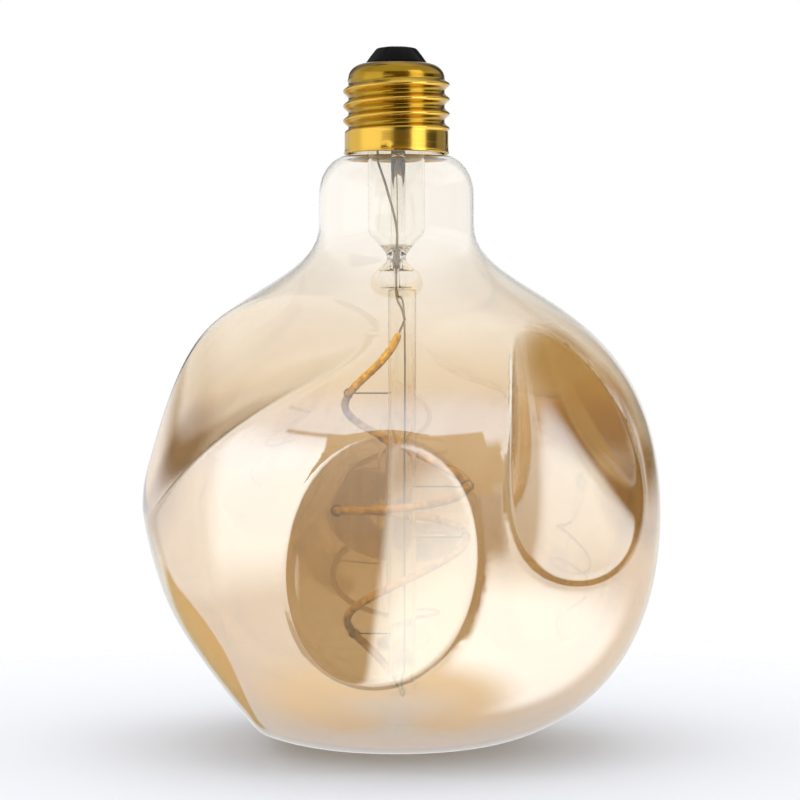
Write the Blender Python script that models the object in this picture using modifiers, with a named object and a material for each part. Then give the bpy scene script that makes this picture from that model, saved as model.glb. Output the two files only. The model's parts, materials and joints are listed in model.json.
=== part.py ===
"""LED filament bulb with a dented glass globe on an E27 screw cap, piece by piece.

The origin is the middle of the flat glass base, +Z runs up through the cap and the bulb
faces -Y. Lengths are in metres, written as millimetres times MM, and angles in degrees.
"""

from collections import namedtuple
from math import atan2, ceil, cos, pi, radians, sin, sqrt

import bmesh
import bpy
from mathutils import Matrix, Vector

MM = 0.001
CLEARANCE = 0.3 * MM

# Screw cap, from its rim up
SKIRT_RADIUS = 12.7 * MM
SKIRT_HEIGHT = 5.0 * MM
THREAD_MAJOR_RADIUS = 13.1 * MM
THREAD_MINOR_RADIUS = 11.8 * MM
THREAD_PITCH = 3.6 * MM
THREAD_LENGTH = 13.4 * MM
THREAD_PHASE = 70.0
THREAD_FADE = 1.2 * MM
CAP_SHOULDER_HEIGHT = 3.5 * MM
CAP_MOUTH_RADIUS = 7.6 * MM
SHELL_WALL = 0.4 * MM
RIM_GAP = 0.2 * MM
CEMENT_THICKNESS = 0.8 * MM
CEMENT_HEIGHT = 3.8 * MM
CEMENT_INSET = 0.8 * MM

# Glass envelope: a flat base, a globe, a neck and a collar that goes up into the cap
GLOBE_RADIUS = 64.5 * MM
GLOBE_MIDDLE = 57.0 * MM
BASE_FLAT_RADIUS = 16.0 * MM
BASE_PULL = 21.0 * MM
LOWER_PULL = 43.0 * MM
UPPER_PULL = 55.0 * MM
NECK_PULL = 19.0 * MM
NECK_RADIUS = 19.0 * MM
SHOULDER_HEIGHT = 70.0 * MM
NECK_LENGTH = 7.5 * MM
NECK_ROUNDING = 9.7 * MM
COLLAR_LENGTH = 5.8 * MM
GLASS_WALL = 0.9 * MM

COLLAR_RADIUS = SKIRT_RADIUS - SHELL_WALL - CEMENT_THICKNESS - 2 * CLEARANCE
NECK_BOTTOM = GLOBE_MIDDLE + SHOULDER_HEIGHT
NECK_TOP = NECK_BOTTOM + NECK_LENGTH
COLLAR_BOTTOM = NECK_TOP + NECK_ROUNDING
COLLAR_TOP = COLLAR_BOTTOM + COLLAR_LENGTH
CAP_RIM = COLLAR_BOTTOM + RIM_GAP
SKIRT_TOP = CAP_RIM + SKIRT_HEIGHT
THREAD_TOP = SKIRT_TOP + THREAD_LENGTH
CAP_TOP = THREAD_TOP + CAP_SHOULDER_HEIGHT
CEMENT_BOTTOM = CAP_RIM + CEMENT_INSET
CEMENT_TOP = CEMENT_BOTTOM + CEMENT_HEIGHT

# Each dent is a pressed bowl. Azimuth 0 faces -Y and grows towards +X, rise is its height over the
# widest ring, tilt is up, and roll leans its top to the right. Taper narrows the top, and the half
# sizes are those of the rim.
Dent = namedtuple("Dent", "azimuth rise tilt roll half_width half_height depth taper")
DENTS = {
    "front": Dent(-3, -6 * MM, -9, 10, 21 * MM, 27 * MM, 9 * MM, -0.12),
    "right": Dent(43, 23.5 * MM, 14, -4, 19 * MM, 31 * MM, 11 * MM, 0.6),
    "upper_left": Dent(-57.5, 37.5 * MM, 30, 63.5, 25 * MM, 46 * MM, 9 * MM, 0.72),
    "lower_left": Dent(-85.5, -32.5 * MM, -33, 11, 39 * MM, 32 * MM, 6.2 * MM, 0.26),
    "left": Dent(-84.5, 2 * MM, -8, 0, 20 * MM, 25 * MM, 2.1 * MM, 0.0),
    "back_right": Dent(140, -15 * MM, -12, 12, 23 * MM, 27 * MM, 9.5 * MM, 0.1),
    "back_left": Dent(-152, 19 * MM, 14, -30, 19 * MM, 28 * MM, 10 * MM, 0.3),
    "back_top": Dent(146, 41 * MM, 36, 78, 14 * MM, 23 * MM, 8 * MM, 0.2),
}
TOOL_REACH = 1.45
TOOL_THICKNESS = 32.0 * MM

# Insulator and contact
INSULATOR_HEIGHT = 3.8 * MM
INSULATOR_TOP_RADIUS = 4.85 * MM
INSULATOR_BEVEL = 0.4 * MM
INSULATOR_FLANGE_REACH = 1.4 * MM
INSULATOR_FLANGE_DROP = 0.9 * MM
INSULATOR_FLANGE_THICKNESS = 1.8 * MM
CONTACT_RADIUS = 3.5 * MM
CONTACT_PROUD = 0.25 * MM
CONTACT_RECESS = 0.6 * MM
CONTACT_SHANK_RADIUS = 1.0 * MM
CONTACT_TAIL = 0.6 * MM

INSULATOR_TOP = CAP_TOP + INSULATOR_HEIGHT
INSULATOR_BOTTOM = CAP_TOP - INSULATOR_FLANGE_DROP - INSULATOR_FLANGE_THICKNESS
CONTACT_BOTTOM = INSULATOR_BOTTOM - CONTACT_TAIL

# Glass tube that carries the filament, hung from the stem and ending short of the base
ROD_RADIUS = 3.4 * MM
ROD_WALL = 0.6 * MM
ROD_OFFSET = 1.4 * MM
ROD_BASE_GAP = 13.2 * MM

# Stem: flare tube that is pressed flat round the leads and ends in a bead
FLARE_INSET = 0.4 * MM
FLARE_HEIGHT = 4.6 * MM
FLARE_TUBE_RADIUS = 7.0 * MM
FLARE_TUBE_LENGTH = 18.8 * MM
FLARE_WALL = 0.9 * MM
PRESS_HEIGHT = 8.3 * MM
PRESS_FLOOR_RISE = 2.3 * MM
PRESS_HALF_THICKNESS = 2.4 * MM
BEAD_SPREAD = 3.0 * MM
BEAD_HEIGHT = 3.9 * MM
BEAD_HALF_THICKNESS = 4.15 * MM
BEAD_END = 1.9 * MM
BEAD_ROUND = 0.8 * MM
LEAD_RADIUS = 0.3 * MM
LEAD_ROD_GAP = 0.8 * MM
LEAD_BORE_CLEARANCE = 0.25 * MM
LEAD_TAIL = 1.5 * MM
LEAD_SETTLE = 8.0 * MM
LIVE_LEAD_SIDE = 4.6 * MM
RETURN_LEAD_SIDE = 0.4 * MM
RETURN_LEAD_OFFSET = 0.8 * MM

FLARE_TOP = COLLAR_TOP - FLARE_INSET
FLARE_BEND = FLARE_TOP - FLARE_HEIGHT
PRESS_TOP = FLARE_BEND - FLARE_TUBE_LENGTH
PRESS_THROAT = PRESS_TOP - PRESS_HEIGHT
PRESS_FLOOR = PRESS_THROAT + PRESS_FLOOR_RISE
BEAD_TOP = PRESS_THROAT - BEAD_SPREAD
BEAD_BOTTOM = BEAD_TOP - BEAD_HEIGHT
LEAD_SPACING = 2 * (ROD_RADIUS + LEAD_ROD_GAP + LEAD_RADIUS)
BEAD_HALF_LENGTH = LEAD_SPACING / 2 + BEAD_END

EXHAUST_RADIUS = 1.8 * MM
EXHAUST_WALL = 0.6 * MM
EXHAUST_OFFSET = 0.4 * MM
EXHAUST_INSET = 3.5 * MM
EXHAUST_TOP = COLLAR_TOP - EXHAUST_INSET

# Filament: one long LED strip wound as a spiral, closest in the middle, along the glass tube
FILAMENT_RADIUS = 1.0 * MM
FILAMENT_DROP = 10.6 * MM
FILAMENT_FOOT = 0.6 * MM
FILAMENT_TURNS = 2.42
FILAMENT_START_ANGLE = -100.0
FILAMENT_CROWDING = 0.88
SPIRAL_RADIUS = 16.0 * MM
SPIRAL_EASE = 0.14
POINTS_PER_TURN = 24
TAB_LENGTH = 3.0 * MM
TAB_WIDTH = 1.6 * MM
TAB_THICKNESS = 0.4 * MM
HOOK_RADIUS = 0.2 * MM
HOOK_LOOP_POINTS = 10
HOOK_LOOP_ARC = 300.0

ROD_BOTTOM = ROD_BASE_GAP
FILAMENT_TOP = BEAD_BOTTOM - FILAMENT_DROP
FILAMENT_BOTTOM = ROD_BOTTOM + FILAMENT_FOOT
SPIRAL_END_RADIUS = ROD_RADIUS + CLEARANCE + FILAMENT_RADIUS

# Driver in the cap: an upright board on the collar's edge
BOARD_SIDE_GAP = 1.0 * MM
BOARD_HEAD_GAP = 1.4 * MM
BOARD_THICKNESS = 1.0 * MM
BOARD_WIDTH = 2 * (THREAD_MINOR_RADIUS - SHELL_WALL - BOARD_SIDE_GAP)
BOARD_BOTTOM = COLLAR_TOP + CLEARANCE
BOARD_TOP = CONTACT_BOTTOM - BOARD_HEAD_GAP
EDGE_GAP = 1.0 * MM
PART_GAP = 1.1 * MM
BRIDGE_WIDTH = 4.7 * MM
BRIDGE_DEPTH = 1.4 * MM
BRIDGE_HEIGHT = 3.9 * MM
CHIP_WIDTH = 4.9 * MM
CHIP_DEPTH = 1.5 * MM
CHIP_HEIGHT = 3.9 * MM
RADIO_WIDTH = 7.2 * MM
RADIO_HEIGHT = 4.4 * MM
RADIO_THICKNESS = 0.8 * MM
RADIO_CAN_MARGIN = 0.7 * MM
RADIO_CAN_DEPTH = 1.2 * MM
CAPACITOR_RADIUS = 2.5 * MM
CAPACITOR_LENGTH = 9.0 * MM
CHOKE_RADIUS = 2.6 * MM
CHOKE_WAIST_RADIUS = 1.9 * MM
CHOKE_LENGTH = 5.0 * MM
CHOKE_FLANGE = 0.9 * MM
FUSE_RADIUS = 1.2 * MM
FUSE_LENGTH = 6.0 * MM
SUPPLY_WIRE_RADIUS = 0.4 * MM
SUPPLY_WIRE_BEND = 2.6 * MM

TURN_STEPS = 48
CAP_STEPS = 32
SMALL_STEPS = 20


def clear_scene():
    for old in list(bpy.data.objects):
        bpy.data.objects.remove(old)


def make_collection(name):
    collection = bpy.data.collections.new(name)
    bpy.context.scene.collection.children.link(collection)
    return collection


def material(name, colour, roughness, metallic=0.0, transmission=0.0):
    made = bpy.data.materials.new(name)
    made.use_nodes = True
    shader = made.node_tree.nodes["Principled BSDF"]
    shader.inputs["Base Color"].default_value = (*colour, 1.0)
    shader.inputs["Roughness"].default_value = roughness
    shader.inputs["Metallic"].default_value = metallic
    shader.inputs["Transmission Weight"].default_value = transmission
    return made


def add(name, data, finish, place=(0.0, 0.0, 0.0)):
    obj = bpy.data.objects.new(name, data)
    obj.location = place
    parts.objects.link(obj)
    data.materials.append(finish)
    return obj


def as_cutter(obj):
    for holder in list(obj.users_collection):
        holder.objects.unlink(obj)
    cutters.objects.link(obj)
    obj.hide_render = True
    obj.display_type = "WIRE"
    return obj


def cut(obj, cutter):
    boolean = obj.modifiers.new("cut_" + cutter.name, "BOOLEAN")
    boolean.operation = "DIFFERENCE"
    boolean.object = cutter


def ease(x):
    x = min(max(x, 0.0), 1.0)
    return x * x * (3 - 2 * x)


def bezier(start, start_pull, end_pull, end, count):
    """Points of a cubic curve in (radius, height), without its first point."""
    points = []
    for step in range(1, count + 1):
        t = step / count
        weights = ((1 - t) ** 3, 3 * t * (1 - t) ** 2, 3 * t * t * (1 - t), t**3)
        corners = (start, start_pull, end_pull, end)
        points.append(tuple(sum(w * c[axis] for w, c in zip(weights, corners)) for axis in (0, 1)))
    return points


def turned(name, outline, finish, steps, closed, place=(0.0, 0.0, 0.0)):
    """Turns an outline of (radius, height) that runs down its outer side round Z."""
    mesh = bpy.data.meshes.new(name)
    count = len(outline)
    edges = [(i, i + 1) for i in range(count - 1)]
    if closed:
        edges.append((count - 1, 0))
    mesh.from_pydata([(radius, 0.0, height) for radius, height in outline], edges, [])
    obj = add(name, mesh, finish, place)
    screw = obj.modifiers.new("turn", "SCREW")
    screw.steps = steps
    screw.render_steps = steps
    screw.use_merge_vertices = True
    screw.merge_threshold = 1e-6
    return obj


def applied(obj):
    """Replaces the object's mesh by what its modifiers make."""
    graph = bpy.context.evaluated_depsgraph_get()
    finish = obj.data.materials[0]
    obj.data = bpy.data.meshes.new_from_object(obj.evaluated_get(graph))
    obj.modifiers.clear()
    obj.data.materials.clear()
    obj.data.materials.append(finish)
    return obj.data


def wire(name, points, radius, finish, sides=1):
    curve = bpy.data.curves.new(name, "CURVE")
    curve.dimensions = "3D"
    curve.bevel_depth = radius
    curve.bevel_resolution = sides
    curve.use_fill_caps = True
    spline = curve.splines.new("POLY")
    spline.points.add(len(points) - 1)
    for point, place in zip(spline.points, points):
        point.co = (*place, 1.0)
    return add(name, curve, finish)


def smooth_route(points, step):
    """Even points of a smooth curve through the route's own points."""
    ends = [points[0] * 2 - points[1], *points, points[-1] * 2 - points[-2]]
    route = [points[0]]
    for before, start, end, after in zip(ends, ends[1:], ends[2:], ends[3:]):
        count = max(1, ceil((end - start).length / step))
        for k in range(1, count + 1):
            t = k / count
            bend = (before * 2 - start * 5 + end * 4 - after) * t * t
            twist = (start * 3 - before - end * 3 + after) * t**3
            route.append((start * 2 + (end - before) * t + bend + twist) * 0.5)
    return route


def block(name, size, centre, finish, bevel=0.2 * MM):
    mesh = bpy.data.meshes.new(name)
    shape = bmesh.new()
    bmesh.ops.create_cube(shape, size=1.0, matrix=Matrix.Diagonal((*size, 1.0)))
    shape.to_mesh(mesh)
    shape.free()
    obj = add(name, mesh, finish, centre)
    rounding = obj.modifiers.new("edges", "BEVEL")
    rounding.width = bevel
    rounding.segments = 1
    return obj


def glass_outline(inset):
    """Outer side of the envelope from the collar's top to the base, moved inwards by inset."""
    rim = (COLLAR_RADIUS, COLLAR_TOP)
    shoulder = []
    for step in range(7):
        angle = pi / 2 * (1 - step / 6)
        reach = (NECK_RADIUS - COLLAR_RADIUS) * cos(angle)
        shoulder.append((COLLAR_RADIUS + reach, NECK_TOP + (COLLAR_BOTTOM - NECK_TOP) * sin(angle)))
    neck = (NECK_RADIUS, NECK_BOTTOM)
    belly = (GLOBE_RADIUS, GLOBE_MIDDLE)
    base = (BASE_FLAT_RADIUS, 0.0)
    upper = bezier(
        neck,
        (NECK_RADIUS, NECK_BOTTOM - NECK_PULL),
        (GLOBE_RADIUS, GLOBE_MIDDLE + UPPER_PULL),
        belly,
        12,
    )
    lower = bezier(
        belly,
        (GLOBE_RADIUS, GLOBE_MIDDLE - LOWER_PULL),
        (BASE_FLAT_RADIUS + BASE_PULL, 0.0),
        base,
        10,
    )
    outline = [rim, *shoulder, neck, *upper, *lower]
    moved = []
    for i, (radius, height) in enumerate(outline):
        before = outline[max(i - 1, 0)]
        after = outline[i + 1] if i + 1 < len(outline) else (0.0, 0.0)
        run, drop = after[0] - before[0], before[1] - after[1]
        length = sqrt(run * run + drop * drop)
        moved.append((radius - inset * drop / length, height - inset * run / length))
    return moved


def radius_at(height):
    outline = glass_outline(0.0)
    for upper, lower in zip(outline, outline[1:]):
        if lower[1] <= height <= upper[1]:
            share = (height - lower[1]) / (upper[1] - lower[1])
            return lower[0] + (upper[0] - lower[0]) * share
    return GLOBE_RADIUS


def globe_sag(half):
    return GLOBE_RADIUS - sqrt(GLOBE_RADIUS**2 - half**2)


def dent_frame(dent):
    """Matrix whose X and Y lie along the dent's rim and whose Z points out of the glass."""
    azimuth, tilt, roll = radians(dent.azimuth), radians(dent.tilt), radians(dent.roll)
    out = Vector((cos(tilt) * sin(azimuth), -cos(tilt) * cos(azimuth), sin(tilt)))
    level = Vector((cos(azimuth), sin(azimuth), 0.0))
    rise = out.cross(level)
    across = level * cos(roll) - rise * sin(roll)
    along = level * sin(roll) + rise * cos(roll)
    height = GLOBE_MIDDLE + dent.rise
    radius = radius_at(height)
    frame = Matrix((across, along, out)).transposed().to_4x4()
    frame.translation = (radius * sin(azimuth), -radius * cos(azimuth), height)
    return frame


def dent_tool(name, dent, sink):
    """Thick curved plate whose underside is the dent's bowl, pushed in further by sink."""
    width_bend = (dent.depth - globe_sag(dent.half_width)) / dent.half_width**2
    height_bend = (dent.depth - globe_sag(dent.half_height)) / dent.half_height**2
    shape = bmesh.new()
    bmesh.ops.create_grid(shape, x_segments=10, y_segments=12, size=TOOL_REACH)
    for vert in shape.verts:
        across = vert.co.x * dent.half_width
        along = vert.co.y * dent.half_height
        narrowed = across * (1 + dent.taper * vert.co.y)
        bowl = width_bend * narrowed**2 + height_bend * along**2 - dent.depth
        vert.co = (across, along, bowl - sink)
    top = bmesh.ops.extrude_face_region(shape, geom=shape.faces[:])["geom"]
    for vert in top:
        if isinstance(vert, bmesh.types.BMVert):
            vert.co.z += TOOL_THICKNESS
    bmesh.ops.recalc_face_normals(shape, faces=shape.faces)
    mesh = bpy.data.meshes.new(name)
    shape.to_mesh(mesh)
    shape.free()
    tool = add(name, mesh, clear_glass)
    tool.matrix_world = dent_frame(dent)
    return as_cutter(tool)


def glass_envelope():
    """Blown shell: the turned body less its cavity, with every dent pressed into both."""
    outside = [(0.0, COLLAR_TOP), *glass_outline(0.0), (0.0, 0.0)]
    body = turned("glass_envelope", outside, coated_glass, TURN_STEPS, False)
    inside = glass_outline(GLASS_WALL)
    mouth = (inside[0][0], COLLAR_TOP + GLASS_WALL)
    hollow = [(0.0, mouth[1]), mouth, *inside, (0.0, GLASS_WALL)]
    cavity = as_cutter(turned("cavity", hollow, clear_glass, TURN_STEPS, False))
    for name, dent in DENTS.items():
        cut(body, dent_tool("dent_" + name, dent, 0.0))
        cut(cavity, dent_tool("inner_dent_" + name, dent, GLASS_WALL))
    cut(body, cavity)


def thread_wave(height, angle):
    """Share of the thread's depth at a height and an angle round the cap."""
    turn = (height - THREAD_PITCH * (angle - radians(THREAD_PHASE)) / (2 * pi)) / THREAD_PITCH
    wave = (0.5 + 0.5 * cos(2 * pi * turn)) ** 1.5
    return wave * ease((THREAD_TOP - height) / THREAD_FADE) * ease((height - SKIRT_TOP) / THREAD_FADE)


def cap_shell():
    """Brass sheet shell: rounded shoulder, rolled thread, plain skirt and a turned-out rim."""
    outline = []
    for step in range(6):
        angle = pi / 2 * (1 - step / 5)
        reach = (THREAD_MINOR_RADIUS - CAP_MOUTH_RADIUS) * cos(angle)
        outline.append((CAP_MOUTH_RADIUS + reach, THREAD_TOP + (CAP_TOP - THREAD_TOP) * sin(angle)))
    rows = round((THREAD_TOP - SKIRT_TOP) / THREAD_PITCH * 5)
    for row in range(1, rows + 1):
        height = THREAD_TOP + (SKIRT_TOP - THREAD_TOP) * row / rows
        blend = ease((SKIRT_TOP + THREAD_FADE - height) / THREAD_FADE)
        outline.append((THREAD_MINOR_RADIUS + (SKIRT_RADIUS - THREAD_MINOR_RADIUS) * blend, height))
    outline.append((SKIRT_RADIUS, CAP_RIM + THREAD_FADE))
    outline.append((SKIRT_RADIUS + SHELL_WALL / 2, CAP_RIM))
    shell = turned("cap_shell", outline, brass, CAP_STEPS, False)
    for vert in applied(shell).vertices:
        wave = thread_wave(vert.co.z, atan2(vert.co.y, vert.co.x))
        radius = vert.co.xy.length
        vert.co.xy *= 1 + wave * (THREAD_MAJOR_RADIUS - THREAD_MINOR_RADIUS) / radius
    sheet = shell.modifiers.new("sheet", "SOLIDIFY")
    sheet.thickness = SHELL_WALL
    sheet.offset = -1.0


def cap_insulator():
    """Black glass cone that plugs the shell's mouth, with a flange inside and a bore for the contact."""
    spigot = CAP_MOUTH_RADIUS - SHELL_WALL - CLEARANCE
    seat = CAP_TOP + CLEARANCE
    flange_top = CAP_TOP - INSULATOR_FLANGE_DROP
    flange = CAP_MOUTH_RADIUS + INSULATOR_FLANGE_REACH
    recess = CONTACT_RADIUS + CLEARANCE
    bore = CONTACT_SHANK_RADIUS + CLEARANCE
    outline = [
        (recess, INSULATOR_TOP),
        (INSULATOR_TOP_RADIUS - INSULATOR_BEVEL, INSULATOR_TOP),
        (INSULATOR_TOP_RADIUS, INSULATOR_TOP - INSULATOR_BEVEL),
        (CAP_MOUTH_RADIUS, seat),
        (spigot, seat),
        (spigot, flange_top),
        (flange, flange_top - INSULATOR_BEVEL),
        (flange, INSULATOR_BOTTOM),
        (bore, INSULATOR_BOTTOM),
        (bore, INSULATOR_TOP - CONTACT_RECESS),
        (recess, INSULATOR_TOP - CONTACT_RECESS),
    ]
    turned("cap_insulator", outline, black_glass, CAP_STEPS, True)


def centre_contact():
    """Rivet whose flat head touches the lampholder's spring."""
    head_top = INSULATOR_TOP + CONTACT_PROUD
    head_bottom = INSULATOR_TOP - CONTACT_RECESS + CLEARANCE
    outline = [
        (0.0, head_top),
        (CONTACT_RADIUS - CONTACT_PROUD, head_top),
        (CONTACT_RADIUS, INSULATOR_TOP),
        (CONTACT_RADIUS, head_bottom),
        (CONTACT_SHANK_RADIUS, head_bottom),
        (CONTACT_SHANK_RADIUS, CONTACT_BOTTOM),
        (0.0, CONTACT_BOTTOM),
    ]
    turned("centre_contact", outline, solder, SMALL_STEPS, False)


def cap_cement():
    inner = COLLAR_RADIUS + CLEARANCE
    outer = SKIRT_RADIUS - SHELL_WALL - CLEARANCE
    outline = [(inner, CEMENT_TOP), (outer, CEMENT_TOP), (outer, CEMENT_BOTTOM), (inner, CEMENT_BOTTOM)]
    turned("cap_cement", outline, cement, CAP_STEPS, True)


def press_share(height):
    """How flat the stem is at a height: its thickness across X over its length along Y."""
    throat = PRESS_HALF_THICKNESS / FLARE_TUBE_RADIUS
    bead = BEAD_HALF_THICKNESS / BEAD_HALF_LENGTH
    if height > PRESS_THROAT:
        return 1 - (1 - throat) * ease((PRESS_TOP - height) / (PRESS_TOP - PRESS_THROAT))
    return throat + (bead - throat) * ease((PRESS_THROAT - height) / (PRESS_THROAT - BEAD_TOP))


def stem_flare():
    """Flare tube, sealed to the collar at its wide end and pressed flat round the leads at the other."""
    rim = COLLAR_RADIUS - GLASS_WALL - CLEARANCE
    bend = [(rim, FLARE_TOP)]
    for step in range(1, 5):
        angle = pi / 2 * step / 4
        radius = rim + (FLARE_TUBE_RADIUS - rim) * sin(angle)
        bend.append((radius, FLARE_BEND + (FLARE_TOP - FLARE_WALL - FLARE_BEND) * (1 - sin(angle))))
    levels = [PRESS_TOP - (PRESS_TOP - BEAD_TOP) * step / 8 for step in range(9)]
    tube = [(FLARE_TUBE_RADIUS, level) for level in levels[:-1]]
    bead = [
        (BEAD_HALF_LENGTH, BEAD_TOP),
        (BEAD_HALF_LENGTH, BEAD_BOTTOM + BEAD_ROUND),
        (BEAD_HALF_LENGTH - BEAD_ROUND, BEAD_BOTTOM),
        (0.0, BEAD_BOTTOM),
    ]
    bore = FLARE_TUBE_RADIUS - FLARE_WALL
    inner_levels = [level for level in levels if level > PRESS_FLOOR]
    inner = [(0.0, PRESS_FLOOR), (bore, PRESS_FLOOR)]
    inner += [(bore, level) for level in reversed(inner_levels)]
    inner += [(radius - FLARE_WALL, height) for radius, height in reversed(bend)]
    stem = turned("stem_flare", [*inner, *bend, *tube, *bead], clear_glass, 26, False)
    for vert in applied(stem).vertices:
        vert.co.x *= press_share(vert.co.z)
    for side in (-1, 1):
        mesh = bpy.data.meshes.new("lead_bore")
        shape = bmesh.new()
        radius = LEAD_RADIUS + LEAD_BORE_CLEARANCE
        place = Matrix.Translation((0.0, side * LEAD_SPACING / 2, (PRESS_FLOOR + BEAD_BOTTOM) / 2))
        bmesh.ops.create_cone(
            shape,
            cap_ends=True,
            segments=12,
            radius1=radius,
            radius2=radius,
            depth=PRESS_FLOOR - BEAD_BOTTOM + 1 * MM,
            matrix=place,
        )
        shape.to_mesh(mesh)
        shape.free()
        cut(stem, as_cutter(add("lead_bore", mesh, clear_glass)))


def exhaust_tube():
    """Pump tube, open into the press and melted shut at its top."""
    bottom = PRESS_FLOOR + CLEARANCE
    bore = EXHAUST_RADIUS - EXHAUST_WALL
    tip = [(EXHAUST_RADIUS * sin(pi / 8 * k), EXHAUST_RADIUS * cos(pi / 8 * k)) for k in range(5)]
    outline = [(radius, EXHAUST_TOP - EXHAUST_RADIUS + rise) for radius, rise in tip]
    outline += [(EXHAUST_RADIUS, bottom), (bore, bottom)]
    outline += [(bore, EXHAUST_TOP - EXHAUST_RADIUS), (0.0, EXHAUST_TOP - EXHAUST_WALL)]
    turned("exhaust_tube", outline, clear_glass, 14, False, (EXHAUST_OFFSET, 0.0, 0.0))


def support_tube():
    top = BEAD_BOTTOM - CLEARANCE
    bore = ROD_RADIUS - ROD_WALL
    outline = [(bore, top), (ROD_RADIUS, top), (ROD_RADIUS, ROD_BOTTOM), (bore, ROD_BOTTOM)]
    turned("support_tube", outline, clear_glass, SMALL_STEPS, True, (ROD_OFFSET, 0.0, 0.0))


def filament_angle(share):
    return radians(FILAMENT_START_ANGLE) - 2 * pi * FILAMENT_TURNS * share


def filament_point(share):
    """Point of the spiral at a share of its way down, drawn in to the tube at both ends."""
    drop = share + FILAMENT_CROWDING * sin(2 * pi * share) / (2 * pi)
    swell = ease(min(share, 1 - share) / SPIRAL_EASE)
    radius = SPIRAL_END_RADIUS + (SPIRAL_RADIUS - SPIRAL_END_RADIUS) * swell
    angle = filament_angle(share)
    height = FILAMENT_TOP + (FILAMENT_BOTTOM - FILAMENT_TOP) * drop
    return Vector((ROD_OFFSET + radius * cos(angle), radius * sin(angle), height))


def filament_direction(share):
    step = 0.001
    return (filament_point(min(share + step, 1.0)) - filament_point(max(share - step, 0.0))).normalized()


def least_gap(points, radius):
    """Least gap of a tube to itself, between points that are over a quarter turn apart."""
    apart = POINTS_PER_TURN // 4
    pairs = ((a - b).length for i, a in enumerate(points) for b in points[i + apart :])
    return min(pairs) - 2 * radius


def led_filament():
    count = round(FILAMENT_TURNS * POINTS_PER_TURN)
    points = [filament_point(k / count) for k in range(count + 1)]
    print(f"led_filament: least gap to itself {least_gap(points, FILAMENT_RADIUS) / MM:.2f} mm")
    wire("led_filament", points, FILAMENT_RADIUS, phosphor)


def filament_tab(name, share, outward):
    """Metal strip at one end of the filament. Returns the middle of its far end."""
    end = filament_point(share)
    way = filament_direction(share) * outward
    centre = end + way * (CLEARANCE + TAB_LENGTH / 2)
    tab = block(name, (TAB_WIDTH, TAB_THICKNESS, TAB_LENGTH), centre, nickel, 0.1 * MM)
    tab.rotation_mode = "QUATERNION"
    tab.rotation_quaternion = way.to_track_quat("Z", "Y")
    return end + way * (2 * CLEARANCE + TAB_LENGTH)


def support_hooks():
    """Wires from the glass tube, each with an open loop round the filament at a side of the spiral."""
    span = 2 * pi * FILAMENT_TURNS
    count = int((span + radians(FILAMENT_START_ANGLE)) / pi) + 1
    for number in range(1, count + 1):
        share = (number * pi + radians(FILAMENT_START_ANGLE)) / span
        middle = filament_point(share)
        angle = filament_angle(share)
        out = Vector((cos(angle), sin(angle), 0.0))
        across = filament_direction(share).cross(out).normalized()
        loop = FILAMENT_RADIUS + CLEARANCE + HOOK_RADIUS
        start = Vector((ROD_OFFSET, 0.0, middle.z)) + out * (ROD_RADIUS + CLEARANCE)
        points = [start]
        for k in range(HOOK_LOOP_POINTS + 1):
            turn = pi - radians(HOOK_LOOP_ARC) * k / HOOK_LOOP_POINTS
            points.append(middle + out * (loop * cos(turn)) + across * (loop * sin(turn)))
        wire(f"support_hook_{number}", points, HOOK_RADIUS, nickel)


def lead_wires():
    """The two leads, from the board through the press to the ends of the filament."""
    above = COLLAR_TOP - LEAD_RADIUS
    bend = FLARE_BEND - LEAD_TAIL
    middle = (FLARE_BEND + PRESS_TOP) / 2
    front, back = -LEAD_SPACING / 2, LEAD_SPACING / 2
    below = BEAD_BOTTOM - LEAD_TAIL
    top_end = filament_tab("filament_tab_top", 0.0, -1)
    live = [
        Vector((-LIVE_LEAD_SIDE, front / 6, above)),
        Vector((-LIVE_LEAD_SIDE, front / 3, bend)),
        Vector((-LIVE_LEAD_SIDE / 2, front * 3 / 4, middle)),
        Vector((0.0, front, PRESS_TOP)),
        Vector((0.0, front, PRESS_THROAT)),
        Vector((0.0, front, below)),
        (Vector((0.0, front, BEAD_BOTTOM)) + top_end * 2) / 3,
        top_end,
    ]
    wire("lead_wire_live", smooth_route(live, 2 * MM), LEAD_RADIUS, nickel)
    bottom_end = filament_tab("filament_tab_bottom", 1.0, 1)
    beside = bottom_end.x + RETURN_LEAD_OFFSET
    back_return = [
        Vector((-RETURN_LEAD_SIDE, back / 5, above)),
        Vector((-RETURN_LEAD_SIDE, back / 2, bend)),
        Vector((0.0, back * 7 / 8, middle)),
        Vector((0.0, back, PRESS_TOP)),
        Vector((0.0, back, PRESS_THROAT)),
        Vector((0.0, back, below)),
        Vector((beside, back, BEAD_BOTTOM - LEAD_SETTLE)),
        Vector((beside, back, (FILAMENT_TOP + FILAMENT_BOTTOM) / 2)),
        Vector((beside, back, FILAMENT_BOTTOM + LEAD_TAIL)),
        bottom_end,
    ]
    wire("lead_wire_return", smooth_route(back_return, 3 * MM), LEAD_RADIUS, nickel)


def cylinder(name, radius, length, centre, axis, finish, segments=16):
    mesh = bpy.data.meshes.new(name)
    shape = bmesh.new()
    turn = Vector(axis).to_track_quat("Z", "Y").to_matrix().to_4x4()
    bmesh.ops.create_cone(
        shape, cap_ends=True, segments=segments, radius1=radius, radius2=radius, depth=length, matrix=turn
    )
    shape.to_mesh(mesh)
    shape.free()
    return add(name, mesh, finish, centre)


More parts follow.
